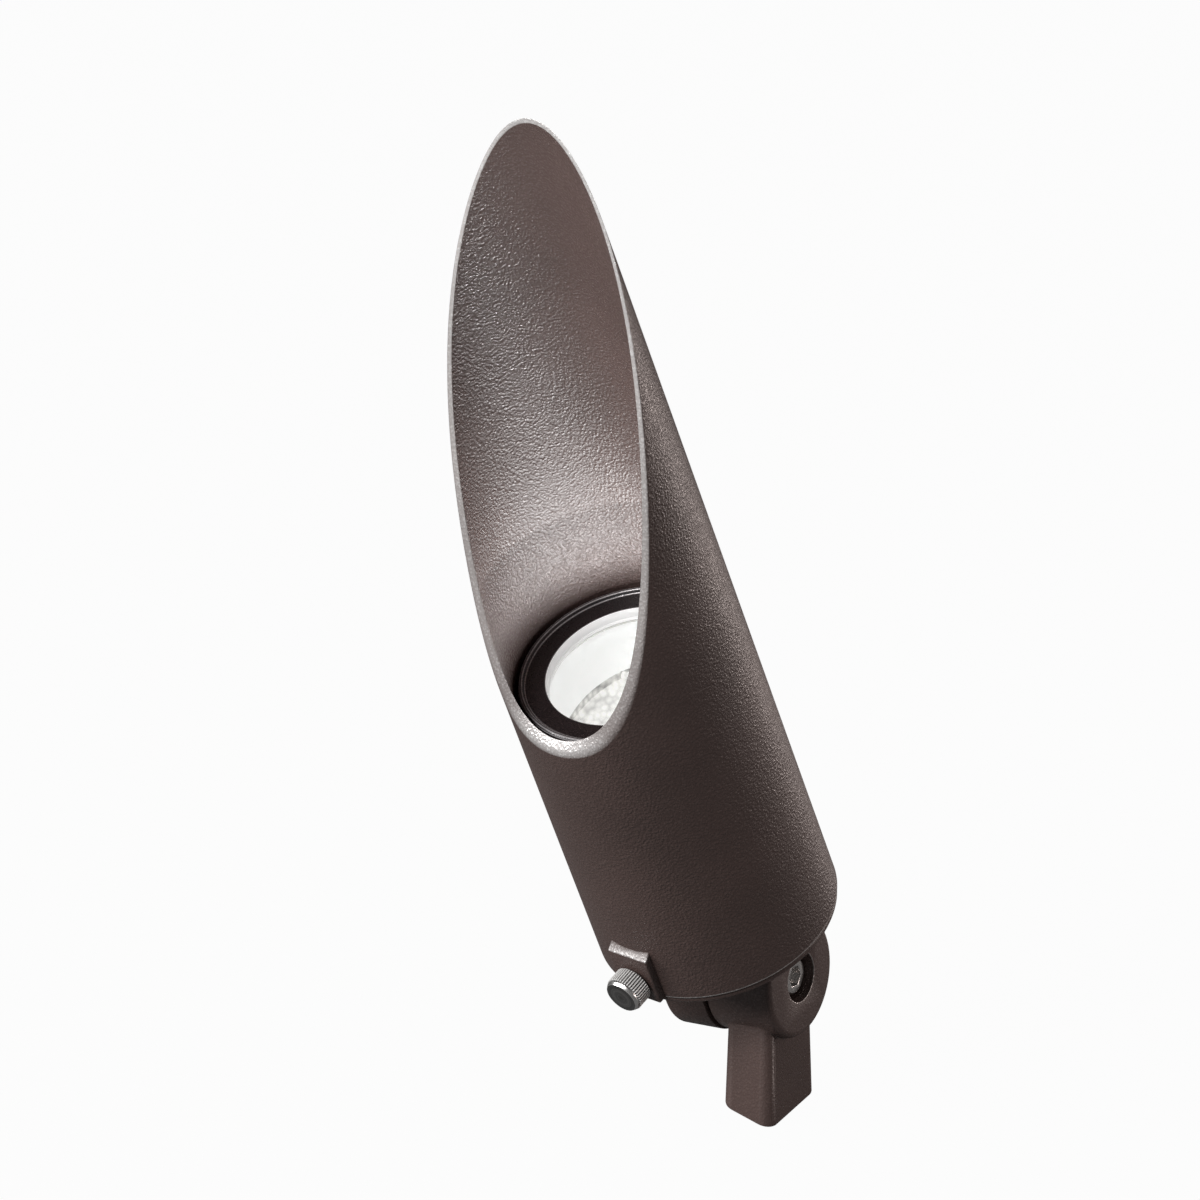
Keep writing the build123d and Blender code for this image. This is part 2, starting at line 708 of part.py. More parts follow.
# Lamp's front optic: a plate with a ring of small domes, on feet that stand on the board
with BuildPart() as lamp_optic:
    optic_top = lamp_top - optic_below_rim
    board_top = lamp_top - lamp_recess_depth + board_thickness
    with BuildSketch(head.offset(optic_top - optic_thickness)):
        Circle(lamp_recess_radius - seat_gap)
    extrude(amount=optic_thickness - optic_below_rim)
    with BuildSketch(head.offset(optic_top - optic_below_rim)):
        Circle(optic_dome_radius)
        with PolarLocations(optic_dome_circle, optic_dome_count):
            Circle(optic_dome_radius)
    extrude(amount=optic_below_rim, taper=45)
    with BuildSketch(head.offset(board_top)):
        with PolarLocations(optic_dome_circle, optic_dome_count):
            Circle(optic_below_rim)
    extrude(amount=optic_top - optic_thickness - board_top)
lamp_optic.part.label = "lamp_optic"
export_step(lamp_optic.part, "parts/lamp_optic.step")

# Lamp's contact pins
with BuildPart() as lamp_pins:
    with BuildSketch(head.offset(lamp_foot + lamp_neck_height / 2 - seat_gap)):
        with GridLocations(pin_spacing, 0, 2, 1):
            Circle(pin_radius)
    extrude(amount=-pin_length)
lamp_pins.part.label = "lamp_pins"
export_step(lamp_pins.part, "parts/lamp_pins.step")

# Ceramic socket with two screw ears
with BuildPart() as lamp_socket:
    with BuildSketch(head.offset(socket_foot)):
        RectangleRounded(socket_ear_length, socket_ear_width, socket_ear_round)
    extrude(amount=socket_ear_height)
    with BuildSketch(head.offset(socket_foot)):
        RectangleRounded(socket_length, socket_width, socket_round)
    extrude(amount=socket_height)
    with BuildSketch(head.offset(socket_top)):
        with GridLocations(pin_spacing, 0, 2, 1):
            Circle(pin_radius + running_gap)
    extrude(amount=-pin_length, mode=Mode.SUBTRACT)
    with BuildSketch(head.offset(socket_foot)):
        with GridLocations(socket_screw_spacing, 0, 2, 1):
            Circle(socket_screw_radius + seat_gap)
        with GridLocations(pin_spacing, 0, 2, 1):
            Circle(lead_radius + running_gap)
    extrude(amount=socket_ear_height / 2, mode=Mode.SUBTRACT)
    with BuildSketch(head.offset(socket_foot)):
        with GridLocations(socket_screw_spacing, 0, 2, 1):
            Circle(socket_screw_radius + seat_gap)
    extrude(amount=socket_ear_height, mode=Mode.SUBTRACT)
lamp_socket.part.label = "lamp_socket"
export_step(lamp_socket.part, "parts/lamp_socket.step")

# Sheet bracket that carries the socket above the cap's floor
with BuildPart() as socket_bracket:
    bracket_top = socket_foot
    with BuildSketch(meridian):
        with BuildLine():
            half = bracket_span / 2
            Polyline(
                (0, bracket_top),
                (half, bracket_top),
                (half, cap_floor + bracket_sheet),
                (bracket_foot, cap_floor + bracket_sheet),
                (bracket_foot, cap_floor),
                (half - bracket_sheet, cap_floor),
                (half - bracket_sheet, bracket_top - bracket_sheet),
                (0, bracket_top - bracket_sheet),
                close=True,
            )
        make_face()
        mirror(about=Plane.YZ)
    extrude(amount=bracket_width / 2, both=True)
    with BuildSketch(head.offset(bracket_top)):
        with GridLocations(socket_screw_spacing, 0, 2, 1):
            Circle(socket_screw_radius + seat_gap)
        with GridLocations(pin_spacing, 0, 2, 1):
            Circle(lead_radius + free_gap)
    extrude(amount=-bracket_sheet, mode=Mode.SUBTRACT)
    with BuildSketch(head.offset(cap_floor)):
        with GridLocations(bracket_screw_spacing, 0, 2, 1):
            Circle(bracket_screw_radius + seat_gap)
    extrude(amount=bracket_sheet, mode=Mode.SUBTRACT)
socket_bracket.part.label = "socket_bracket"
export_step(socket_bracket.part, "parts/socket_bracket.step")

# Screws of the socket's ears and of the bracket's feet
with BuildPart() as socket_screws:
    with BuildSketch(head.offset(socket_foot + socket_ear_height)):
        with GridLocations(socket_screw_spacing, 0, 2, 1):
            Circle(socket_screw_head)
    extrude(amount=small_head_height)
    with BuildSketch(head.offset(socket_foot - 3 * bracket_sheet)):
        with GridLocations(socket_screw_spacing, 0, 2, 1):
            Circle(socket_screw_radius)
    extrude(amount=3 * bracket_sheet + socket_ear_height)
socket_screws.part.label = "socket_screws"
export_step(socket_screws.part, "parts/socket_screws.step")

with BuildPart() as bracket_screws:
    with BuildSketch(head.offset(cap_floor + bracket_sheet)):
        with GridLocations(bracket_screw_spacing, 0, 2, 1):
            Circle(bracket_screw_head)
    extrude(amount=small_head_height)
    with BuildSketch(head.offset(cap_floor - bracket_screw_grip)):
        with GridLocations(bracket_screw_spacing, 0, 2, 1):
            Circle(bracket_screw_radius)
    extrude(amount=bracket_screw_grip + bracket_sheet)
bracket_screws.part.label = "bracket_screws"
export_step(bracket_screws.part, "parts/bracket_screws.step")


def lead_route(side):
    """Points of one lead, from the socket's underside to inside the grommet's bore."""
    spread = lead_radius + running_gap
    socket_end = socket_foot + socket_ear_height / 2 - seat_gap
    points = [
        (side * pin_spacing / 2, 0, socket_end),
        (side * pin_spacing / 2, 0, socket_foot - bracket_sheet - lead_bend),
        (grommet_x + side * spread, grommet_y, cap_floor + grommet_lip + lead_bend),
        (grommet_x + side * spread, grommet_y, cap_underside),
    ]
    return [head.from_local_coords(point) for point in points]


# Insulated leads between the socket and the grommet
with BuildPart() as left_lead:
    with BuildLine():
        left_path = FilletPolyline(*lead_route(-1), radius=lead_bend)
    with BuildSketch(Plane(origin=left_path @ 0, z_dir=left_path % 0)):
        Circle(lead_radius)
    sweep(path=left_path)
left_lead.part.label = "left_lead"
export_step(left_lead.part, "parts/left_lead.step")

with BuildPart() as right_lead:
    with BuildLine():
        right_path = FilletPolyline(*lead_route(1), radius=lead_bend)
    with BuildSketch(Plane(origin=right_path @ 0, z_dir=right_path % 0)):
        Circle(lead_radius)
    sweep(path=right_path)
right_lead.part.label = "right_lead"
export_step(right_lead.part, "parts/right_lead.step")

for lead, path in ((left_lead, left_path), (right_lead, right_path)):
    print(lead.part.label, "volume over section times length:", round(lead.part.volume / (pi * lead_radius**2 * path.length), 4))
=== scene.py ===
"""Dresses the CAD model of a landscape spotlight: castings, screws, lens, lamp and a plain studio."""

import json
from math import comb, cos, pi, radians, sin, sqrt

import bmesh
import bpy
from bpy.props import FloatProperty, FloatVectorProperty, IntProperty, PointerProperty
from mathutils import Matrix, Vector


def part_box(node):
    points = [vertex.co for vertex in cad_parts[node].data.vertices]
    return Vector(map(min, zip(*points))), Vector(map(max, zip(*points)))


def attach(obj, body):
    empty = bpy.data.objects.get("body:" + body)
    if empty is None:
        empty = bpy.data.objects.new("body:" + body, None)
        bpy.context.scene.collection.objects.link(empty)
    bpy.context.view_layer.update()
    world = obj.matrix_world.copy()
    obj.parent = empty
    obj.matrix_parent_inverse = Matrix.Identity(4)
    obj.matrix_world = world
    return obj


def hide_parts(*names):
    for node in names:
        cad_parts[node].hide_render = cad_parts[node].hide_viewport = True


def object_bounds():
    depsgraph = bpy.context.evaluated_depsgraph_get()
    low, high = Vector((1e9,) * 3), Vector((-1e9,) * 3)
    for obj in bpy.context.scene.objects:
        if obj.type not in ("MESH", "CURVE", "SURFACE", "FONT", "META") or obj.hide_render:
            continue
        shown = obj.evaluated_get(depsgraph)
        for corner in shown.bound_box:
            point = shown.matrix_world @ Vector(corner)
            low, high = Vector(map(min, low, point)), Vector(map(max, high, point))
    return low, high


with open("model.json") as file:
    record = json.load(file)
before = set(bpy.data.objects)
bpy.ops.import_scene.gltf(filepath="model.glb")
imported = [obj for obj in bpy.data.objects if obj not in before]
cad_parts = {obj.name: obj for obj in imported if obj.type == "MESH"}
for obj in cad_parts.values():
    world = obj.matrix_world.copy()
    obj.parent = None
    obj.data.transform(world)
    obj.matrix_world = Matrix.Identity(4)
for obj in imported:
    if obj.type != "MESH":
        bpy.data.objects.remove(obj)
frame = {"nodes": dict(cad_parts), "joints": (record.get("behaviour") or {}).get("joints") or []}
cad_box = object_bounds()

bl_info = {
    "name": "Landscape spotlight",
    "version": (1, 0, 0),
    "blender": (4, 5, 0),
    "location": "View3D > Sidebar > Spotlight",
    "description": "Dresses the CAD model of a landscape spotlight for its picture",
    "category": "Object",
}

crease_angle = radians(32)  # faces that meet more sharply keep a crease
knob_crease = radians(25)  # the same for the knurled thumbscrew
sharp_angle = radians(38)  # CAD edges that are sharper get a rounding
flat_angle = radians(0.6)  # CAD triangles that lie flatter become one face
weld_distance = 2e-6  # corners of CAD triangles that lie nearer are one point, in metres
same_height = 1e-6  # heights that lie nearer are level, in metres
thread_steps = 6  # rings of faces in one turn of a thread
rim_steps = 6  # steps of each rounding of the shroud's rim
round_middle = 0.3  # middle of a rounding, as a share of its width from both faces
unhighlighted_ring = 1.4  # first ring above the shroud's foot without painted highlight, in widths of its rounding
test_room = 0.3  # share of a small size that is left as room when faces are picked by their place
hole_sides = 48
bush_sides = 72
knurl_faces = 4  # faces in one ridge and groove of the knurl
highlight_relief = 0.6  # share of the grain's depth that is left where highlight is painted on edges
turning_depth = 0.00003  # depth of the lathe's rings, in metres
mottle_depth = 0.00002  # unevenness of stamped and moulded pieces, in metres
glass_waves = 0.00004  # unevenness of the lens, in metres
speckle_scale = 700.0  # specks in a metre of the glowing pieces


def joint(name):
    """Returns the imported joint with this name."""
    return next(j for j in frame["joints"] if j["name"] == name)


def placement(origin, z_axis, x_axis):
    """Returns the matrix that carries local axes to a place and direction in the part."""
    z = z_axis.normalized()
    x = x_axis.normalized()
    matrix = Matrix((x, z.cross(x), z)).transposed().to_4x4()
    matrix.translation = origin
    return matrix


pivot = Vector(joint("head_tilt")["pos_m"])
head_axis = Vector(joint("shroud_turn")["axis"])
screw_axis = Vector(joint("lock_turn")["axis"])
cross_axis = head_axis.cross(screw_axis)
head_space = placement(pivot, head_axis, cross_axis)
screw_space = placement(Vector(joint("lock_turn")["pos_m"]), screw_axis, cross_axis)
pivot_space = placement(Vector((0, 0, pivot.z)), Vector((1, 0, 0)), Vector((0, 1, 0)))


def number(name, description, default, **settings):
    """Returns a property for a plain number."""
    return FloatProperty(name=name, description=description, default=default, **settings)


def length(name, description, default):
    """Returns a property for one size in metres."""
    return number(name, description, default, subtype="DISTANCE", precision=5)


def fraction(name, description, default):
    """Returns a property for a share from none to all."""
    return number(name, description, default, subtype="FACTOR", min=0, max=1)


def turn(name, description, degrees):
    """Returns a property for an angle that is given in degrees."""
    return number(name, description, radians(degrees), subtype="ANGLE")


def watts(name, description, default):
    """Returns a property for a light's power."""
    return number(name, description, default, min=0, unit="POWER")


def whole(name, description, default, least):
    """Returns a property for a whole number."""
    return IntProperty(name=name, description=description, default=default, min=least)


def numbers(name, description, default, **settings):
    """Returns a property for a few numbers that belong together."""
    return FloatVectorProperty(name=name, description=description, default=default, **settings)


def colour(name, description, default):
    """Returns a property for one linear colour."""
    return numbers(name, description, default, subtype="COLOR", min=0, max=1)


def point(name, description, default):
    """Returns a property for a place in the part's frame."""
    return numbers(name, description, default, subtype="XYZ", unit="LENGTH")


def sides(name, description, default):
    """Returns a property for a light's width and height."""
    return numbers(name, description, default, size=2, min=0, unit="LENGTH")


class SpotlightForm(bpy.types.PropertyGroup):
    """Sizes of the pieces that the scene models again, and where highlight is painted on their edges."""

    shroud_radius: length("Shroud radius", "Outside radius of the shroud", 0.032)
    shroud_bore: length("Shroud bore", "Inside radius of the shroud below its cut", 0.0304)
    hood_bore: length("Hood bore", "Inside radius of the shroud beside the lens", 0.0296)
    tip_bore: length("Tip bore", "Inside radius of the shroud at its tip", 0.03165)
    shroud_foot: length("Shroud foot", "Shroud's lower edge above the pivot", 0.0213)
    foot_round: length("Foot round", "Rounding of the shroud's lower edge", 0.0005)
    hood_foot: length("Hood foot", "Height where the shroud's wall starts to thicken", 0.100)
    hood_taper: length("Hood taper", "Height over which the wall thickens", 0.002)
    bore_open: length("Bore opening", "Height where the bore starts to open towards the tip", 0.1502)
    cut_low: length("Cut's lowest point", "Lowest point of the slanted cut above the pivot", 0.1082)
    cut_tip: length("Cut's tip", "Tip of the slanted cut above the pivot", 0.2638)
    cut_belly: length("Cut's belly", "Middle of the cut's curve above its lowest point", 0.0898)
    cut_over: length("Cut's run-out", "Height above the tip where the bore has its full width", 0.004)
    front_slope: number("Front slope", "Rise of the cut at its front", 0.93)
    back_slope: number("Back slope", "Rise of the cut at its back", 2.93)
    outer_round: fraction("Outer round", "Share of the rim that its outer rounding takes", 0.38)
    inner_round: fraction("Inner round", "Share of the rim that its inner rounding takes", 0.16)
    columns: whole("Columns", "Faces round the shroud", 240, 24)
    rows: whole("Rows", "Rows of faces up the shroud", 40, 4)
    pad_width: length("Pad width", "Width of the thumbscrew's pad", 0.0126)
    pad_height: length("Pad height", "Height of the pad's face", 0.0148)
    pad_slope: number("Pad slope", "Rise of the pad's top towards the shroud", 0.75)
    pad_stand: length("Pad stand", "Pad's face beyond the shroud", 0.0017)
    pad_root: length("Pad root", "Pad's inner side from the head axis", 0.03093)
    pad_round: length("Pad round", "Rounding of the pad's edges", 0.0004)
    lock_hole: length("Screw hole", "Radius of the thumbscrew's hole", 0.0024)
    lock_shank: length("Thumbscrew shank", "Radius of the thumbscrew's thread", 0.00235)
    lock_root: length("Thumbscrew root", "Depth of the thumbscrew's thread", 0.0003)
    lock_pitch: length("Thumbscrew pitch", "Pitch of the thumbscrew's thread", 0.0008)
    lock_end: length("Thumbscrew end", "Inner end of the thumbscrew from the head axis", 0.0299)
    knob_base: length("Knob base", "Knob's underside from the head axis", 0.03395)
    knob_radius: length("Knob radius", "Radius over the knurl", 0.00525)
    knob_neck: length("Knob neck", "Radius of the knob's neck", 0.0044)
    knurl_length: length("Knurl length", "Length of the knurled band", 0.0054)
    knurl_depth: length("Knurl depth", "Depth of the knurl", 0.00035)
    knurl_count: whole("Knurls", "Ridges round the knob", 44, 8)
    knob_bevel: length("Knob bevel", "Height of the polished bevel", 0.0008)
    bevel_reach: length("Bevel reach", "How far the polished bevel runs inwards", 0.00046)
    lamp_face: length("Lamp face", "Height above the pivot that the lamp's light comes from", 0.1096)
    glow_shift: length("Glow shift", "How far the glow lies back and left of the lens's middle", 0.005)
    lens_opening: length("Lens opening", "Radius of the lens ring's opening", 0.0212)
    thread_pitch: length("Stem pitch", "Pitch of the stem's thread", 0.001)
    thread_depth: length("Stem thread depth", "Depth of the stem's thread", 0.00055)
    casting_edge: length("Casting edge", "Rounding of a casting's edges", 0.00035)
    ring_round: length("Ring round", "Rounding of the lens ring's edges", 0.0003)
    turned_edge: length("Turned edge", "Rounding of a turned piece's edges", 0.00015)
    # Worn edges below are painted highlight: a lighter, glossier, part-metal coat for light caught round the
    # counterbore's mouth, along the rim, the foot and the pad's top.
    screw_mouth: length("Screw mouth", "Radius on the ear within which the counterbore's edge is worn", 0.008)
    mouth_highlight: fraction("Mouth wear", "How far the coat is worn round the counterbore", 0.55)
    side_highlight: fraction("Side wear", "How far the rim is worn beside its fully worn lowest point", 0.24)
    tip_highlight: fraction("Tip wear", "How far the rim is worn at the shroud's tip", 1.0)
    highlight_fade: length("Wear fade", "Height over which the rim's wear falls off from its lowest point", 0.007)
    foot_highlight: fraction("Foot wear", "How far the coat is worn along the shroud's lower edge", 0.68)
    pad_highlight: fraction("Pad wear", "How far the coat is worn along the pad's top", 0.5)


class SpotlightFinish(bpy.types.PropertyGroup):
    """Colours and grain of the finishes."""

    coat: colour("Coat", "Dark bronze powder coat", (0.063, 0.0395, 0.0348))
    coat_fleck: colour("Coat fleck", "Lighter grains of the powder coat", (0.084, 0.056, 0.050))
    # Painted highlight: lighter colours for light caught along the coat's edges.
    worn: colour("Worn edge", "Thin coat along worn edges", (0.58, 0.555, 0.545))
    highlight_fleck: colour("Worn fleck", "Bare flecks along worn edges", (0.88, 0.87, 0.86))
    grain: length("Grain", "Width of one grain of the powder coat", 0.00066)
    grain_depth: length("Grain depth", "Height of the coat's grain", 0.00012)
    fine_grain: fraction("Fine grain", "Height of the castings' grain against the shroud's", 0.45)
    black: colour("Black", "Satin black of the lens ring", (0.006, 0.0042, 0.0048))
    black_fleck: colour("Black fleck", "Lighter grains of the satin black", (0.0132, 0.00924, 0.01056))
    # Painted highlight along the lens ring's rounded edges.
    ring_highlight: colour("Ring edge", "Rubbed edges of the lens ring", (0.34, 0.315, 0.32))
    ring_fineness: number("Ring fineness", "How much finer the ring's grain is than the coat's", 1.4, min=0)
    ring_grain: fraction("Ring grain", "Height of the ring's grain against the shroud's", 0.3)
    steel: colour("Steel", "Stainless steel", (0.80, 0.785, 0.77))
    # Painted shade: the knob's face and the knurl's grooves are darker than the same steel.
    face_shade: fraction("Knob face", "Tone of the knob's face against its steel", 0.45)
    groove_shade: fraction("Knurl groove", "Tone of the knurl's grooves against its steel", 0.12)
    brass: colour("Brass", "Machined brass", (0.72, 0.52, 0.22))
    nylon: colour("Nylon", "Natural nylon", (0.75, 0.72, 0.64))
    rubber: colour("Rubber", "Black rubber", (0.018, 0.018, 0.018))
    sleeve: colour("Sleeve", "White silicone round the lamp", (0.86, 0.86, 0.86))
    lamp: colour("Lamp", "White coat of the lamp's heat sink", (0.86, 0.85, 0.83))
    optic: colour("Optic", "Lamp's front plate", (0.86, 0.85, 0.83))
    board: colour("Board", "Lamp's light-emitting board", (0.82, 0.82, 0.80))
    ceramic: colour("Ceramic", "Lamp's socket", (0.80, 0.77, 0.70))
    black_lead: colour("Black lead", "Insulation of the left lead", (0.012, 0.012, 0.012))
    white_lead: colour("White lead", "Insulation of the right lead", (0.75, 0.75, 0.73))
    glass: colour("Glass", "Clear glass of the lens", (0.97, 0.985, 0.98))
    # The lamp's face glows with its own light; the sleeve, the lamp body and the ring's bore get painted glow
    # from it.
    lamp_and_painted_glow: number("Lamp glow", "Brightness of the lamp's face", 0.64, min=0)


class SpotlightStudio(bpy.types.PropertyGroup):
    """Camera, floor and lights."""

    azimuth: turn("Azimuth", "Camera round the part", 31.745)
    elevation: turn("Elevation", "Camera above the part", 14.445)
    distance: length("Distance", "Camera from the point it aims at", 2.033)
    field: turn("Field", "Camera's angle of view", 8.78)
    aim: point("Aim", "Point at the picture's centre", (-0.0523, 0.001, 0.1218))
    sky: number("Sky", "Strength of the even light all round", 0.02, min=0)
    floor: colour("Floor", "Pale floor", (0.16, 0.16, 0.16))
    floor_reach: length("Floor reach", "Floor's edge from the part", 30.0)
    floor_white: fraction("Floor white", "White that the camera sees on the floor", 0.97)
    floor_gloss: fraction("Floor in gloss", "White that glossy pieces mirror from the floor", 0.04)
    backdrop_gloss: number("Backdrop in gloss", "White that glossy pieces mirror from all round", 0.15, min=0)
    key: watts("Key", "Small soft box at the left front", 15.0)
    key_place: point("Key's place", "Middle of the key light", (-1.1, -1.13, 0.53))
    key_size: sides("Key's size", "Width and height of the key light", (0.4, 0.4))
    front: watts("Front", "Soft box above the front", 28.0)
    front_place: point("Front's place", "Middle of the front light", (-0.2, -1.5, 0.9))
    front_size: sides("Front's size", "Width and height of the front light", (0.6, 0.5))
    edge: watts("Edge", "Soft box low at the right", 7.5)
    edge_place: point("Edge's place", "Middle of the edge light", (1.4, 0.75, 0.25))
    edge_size: sides("Edge's size", "Width and height of the edge light", (0.4, 0.5))
    back: watts("Back", "Small soft box close behind", 1.0)
    back_place: point("Back's place", "Middle of the back light", (0.21, 0.66, 0.09))
    back_size: sides("Back's size", "Width and height of the back light", (0.15, 0.12))
    warm: colour("Warm light", "Tint of the light from the right and from behind", (1.0, 0.86, 0.81))
    glow: watts("Glow", "Light that the lens throws on the wall beside it", 0.030)
    glow_spread: turn("Glow spread", "Angle of the lens's glow", 180)
    glow_width: length("Glow width", "Width of the glow and of the beam at the lens", 0.02)
    beam: watts("Beam", "Light that the lamp throws up the shroud", 0.033)
    beam_spread: turn("Beam spread", "Angle of the lamp's beam", 125)
    core: watts("Core", "Narrow core of the lamp's beam", 0.031)
    core_spread: turn("Core spread", "Angle of the beam's core", 40)
    core_width: length("Core width", "Width of the beam's core at the lens", 0.04)


def new_material(name):
    """Returns a fresh material, its node tree and its Principled shader."""
    material = bpy.data.materials.new(name)
    material.use_nodes = True
    tree = material.node_tree
    tree.nodes.clear()
    output = tree.nodes.new("ShaderNodeOutputMaterial")
    shader = tree.nodes.new("ShaderNodeBsdfPrincipled")
    tree.links.new(shader.outputs["BSDF"], output.inputs["Surface"])
    return material, tree, shader


def feed(tree, node, inputs):
    """Links sockets to a node's inputs, or sets values on them."""
    for key, value in inputs.items():
        if isinstance(value, bpy.types.NodeSocket):
            tree.links.new(value, node.inputs[key])
        else:
            node.inputs[key].default_value = value


def place_node(tree, kind, inputs=None, **settings):
    """Adds a node with its settings and inputs."""
    node = tree.nodes.new(kind)
    for key, value in settings.items():
        setattr(node, key, value)
    feed(tree, node, inputs or {})
    return node


def own_place(tree):
    """Returns the place on the piece, in the part's own frame."""
    return place_node(tree, "ShaderNodeTexCoord").outputs["Object"]


def noise(tree, place, scale, detail, roughness=0.5, distortion=0.0):
    """Returns the value of a noise pattern."""
    inputs = {"Vector": place, "Scale": scale, "Detail": detail}
    inputs |= {"Roughness": roughness, "Distortion": distortion}
    return place_node(tree, "ShaderNodeTexNoise", inputs).outputs["Fac"]


def reckon(tree, operation, *values):
    """Returns the result of a sum with one or two values."""
    return place_node(tree, "ShaderNodeMath", dict(enumerate(values)), operation=operation).outputs["Value"]


def dot_product(tree, one, other):
    """Returns the dot product of two vectors."""
    product = place_node(tree, "ShaderNodeVectorMath", {0: one, 1: other}, operation="DOT_PRODUCT")
    return product.outputs["Value"]


def map_range(tree, value, start=0.0, end=1.0, low=0.0, high=1.0, **settings):
    """Carries a value from the range of start to end over to that of low to high."""
    inputs = {"Value": value, "From Min": start, "From Max": end, "To Min": low, "To Max": high}
    return place_node(tree, "ShaderNodeMapRange", inputs, **settings).outputs["Result"]


def blend(tree, share, before, after):
    """Returns a colour between two colours; 6, 7 and 2 are the colour sockets of a Mix node."""
    tones = [tone if isinstance(tone, bpy.types.NodeSocket) else (*tone, 1) for tone in (before, after)]
    mix = place_node(tree, "ShaderNodeMix", {0: share, 6: tones[0], 7: tones[1]}, data_type="RGBA")
    return mix.outputs[2]


def bumps(tree, height, depth, strength):
    """Returns the normal of a surface that a pattern raises."""
    inputs = {"Height": height, "Distance": depth, "Strength": strength}
    return place_node(tree, "ShaderNodeBump", inputs).outputs["Normal"]


def group_sockets(tree, inputs, outputs):
    """Gives a node group its named sockets and returns its input and output nodes."""
    for name, kind in inputs:
        tree.interface.new_socket(name=name, in_out="INPUT", socket_type=kind)
    for name, kind in outputs:
        tree.interface.new_socket(name=name, in_out="OUTPUT", socket_type=kind)
    return tree.nodes.new("NodeGroupInput"), tree.nodes.new("NodeGroupOutput")


def grain_group():
    """Builds the group that gives a coat its grain: colour, roughness and normal."""
    tree = bpy.data.node_groups.new("Powder grain", "ShaderNodeTree")
    source, result = group_sockets(
        tree,
        [
            ("Scale", "NodeSocketFloat"),
            ("Depth", "NodeSocketFloat"),
            ("Base", "NodeSocketColor"),
            ("Fleck", "NodeSocketColor"),
            ("Smooth", "NodeSocketFloat"),
            ("Rough", "NodeSocketFloat"),
        ],
        [("Color", "NodeSocketColor"), ("Roughness", "NodeSocketFloat"), ("Normal", "NodeSocketVector")],
    )
    given = source.outputs
    place = own_place(tree)
    cells = place_node(
        tree,
        "ShaderNodeTexVoronoi",
        {"Vector": place, "Scale": given["Scale"], "Randomness": 1.0, "Smoothness": 0.8},
        feature="SMOOTH_F1",
    )
    wrinkle = noise(tree, place, given["Scale"], detail=2.0, distortion=0.3)
    hills = reckon(tree, "SUBTRACT", wrinkle, cells.outputs["Distance"])
    height = map_range(tree, hills, start=-0.35, end=0.45)
    fleck_mask = map_range(tree, height, start=0.45, end=0.95, interpolation_type="SMOOTHSTEP")
    tint = blend(tree, fleck_mask, given["Base"], given["Fleck"])
    drift = noise(tree, place, scale=28.0, detail=2.0)
    tone = map_range(tree, drift, start=0.3, end=0.7, low=0.86, high=1.12)
    shade = place_node(tree, "ShaderNodeVectorMath", {0: tint, "Scale": tone}, operation="SCALE")
    gloss = map_range(tree, height, start=0.25, end=0.9, low=given["Rough"], high=given["Smooth"])
    normal = bumps(tree, height, given["Depth"], strength=1.0)
    feed(tree, result, {"Color": shade.outputs["Vector"], "Roughness": gloss, "Normal": normal})
    return tree


def coat_with_painted_highlight(name, group, scale, depth, plain, worn, metal):
    """Returns a grained coat with painted highlight: lighter, glossier part-metal where the mesh marks an
    edge.

    plain and highlight each hold a base colour, a fleck colour, a smooth and a rough value.
    """
    material, tree, shader = new_material(name)
    # the mesh attribute marks where highlight is painted
    painted_highlight = place_node(tree, "ShaderNodeAttribute", attribute_name="painted_highlight").outputs["Fac"]
    inputs = {"Scale": scale, "Depth": map_range(tree, painted_highlight, low=depth, high=highlight_relief * depth)}
    for socket, before, after in zip(("Base", "Fleck"), plain[:2], worn[:2]):
        inputs[socket] = blend(tree, painted_highlight, before, after)
    for socket, before, after in zip(("Smooth", "Rough"), plain[2:], worn[2:]):
        inputs[socket] = map_range(tree, painted_highlight, low=before, high=after)
    grain = place_node(tree, "ShaderNodeGroup", node_tree=group)
    feed(tree, grain, inputs)
    for output, socket in (("Color", "Base Color"), ("Roughness", "Roughness"), ("Normal", "Normal")):
        feed(tree, shader, {socket: grain.outputs[output]})
    feed(tree, shader, {"Metallic": reckon(tree, "MULTIPLY", painted_highlight, metal)})
    return material


def turned_group():
    """Builds the group that gives turned metal its fine rings: a mask of streaks and a normal."""
    tree = bpy.data.node_groups.new("Turning marks", "ShaderNodeTree")
    source, result = group_sockets(
        tree,
        [("Vector", "NodeSocketVector"), ("Scale", "NodeSocketFloat"), ("Depth", "NodeSocketFloat")],
        [("Mask", "NodeSocketFloat"), ("Normal", "NodeSocketVector")],
    )
    given = source.outputs
    rings = noise(tree, given["Vector"], given["Scale"], detail=4.0, roughness=0.7)
    feed(tree, result, {"Mask": rings, "Normal": bumps(tree, rings, given["Depth"], strength=0.6)})
    return tree


def round_coordinates(tree, place):
    """Returns a vector that only changes with the distance from, and along, a piece's own axis."""
    offset = {0: own_place(tree), 1: place.translation}
    local = place_node(tree, "ShaderNodeVectorMath", offset, operation="SUBTRACT").outputs["Vector"]
    along = dot_product(tree, local, place.to_3x3().col[2])
    square = dot_product(tree, local, local)
    across_square = reckon(tree, "SUBTRACT", square, reckon(tree, "MULTIPLY", along, along))
    reach = reckon(tree, "SQRT", across_square)
    return place_node(tree, "ShaderNodeCombineXYZ", {"X": reach, "Y": along}).outputs["Vector"]


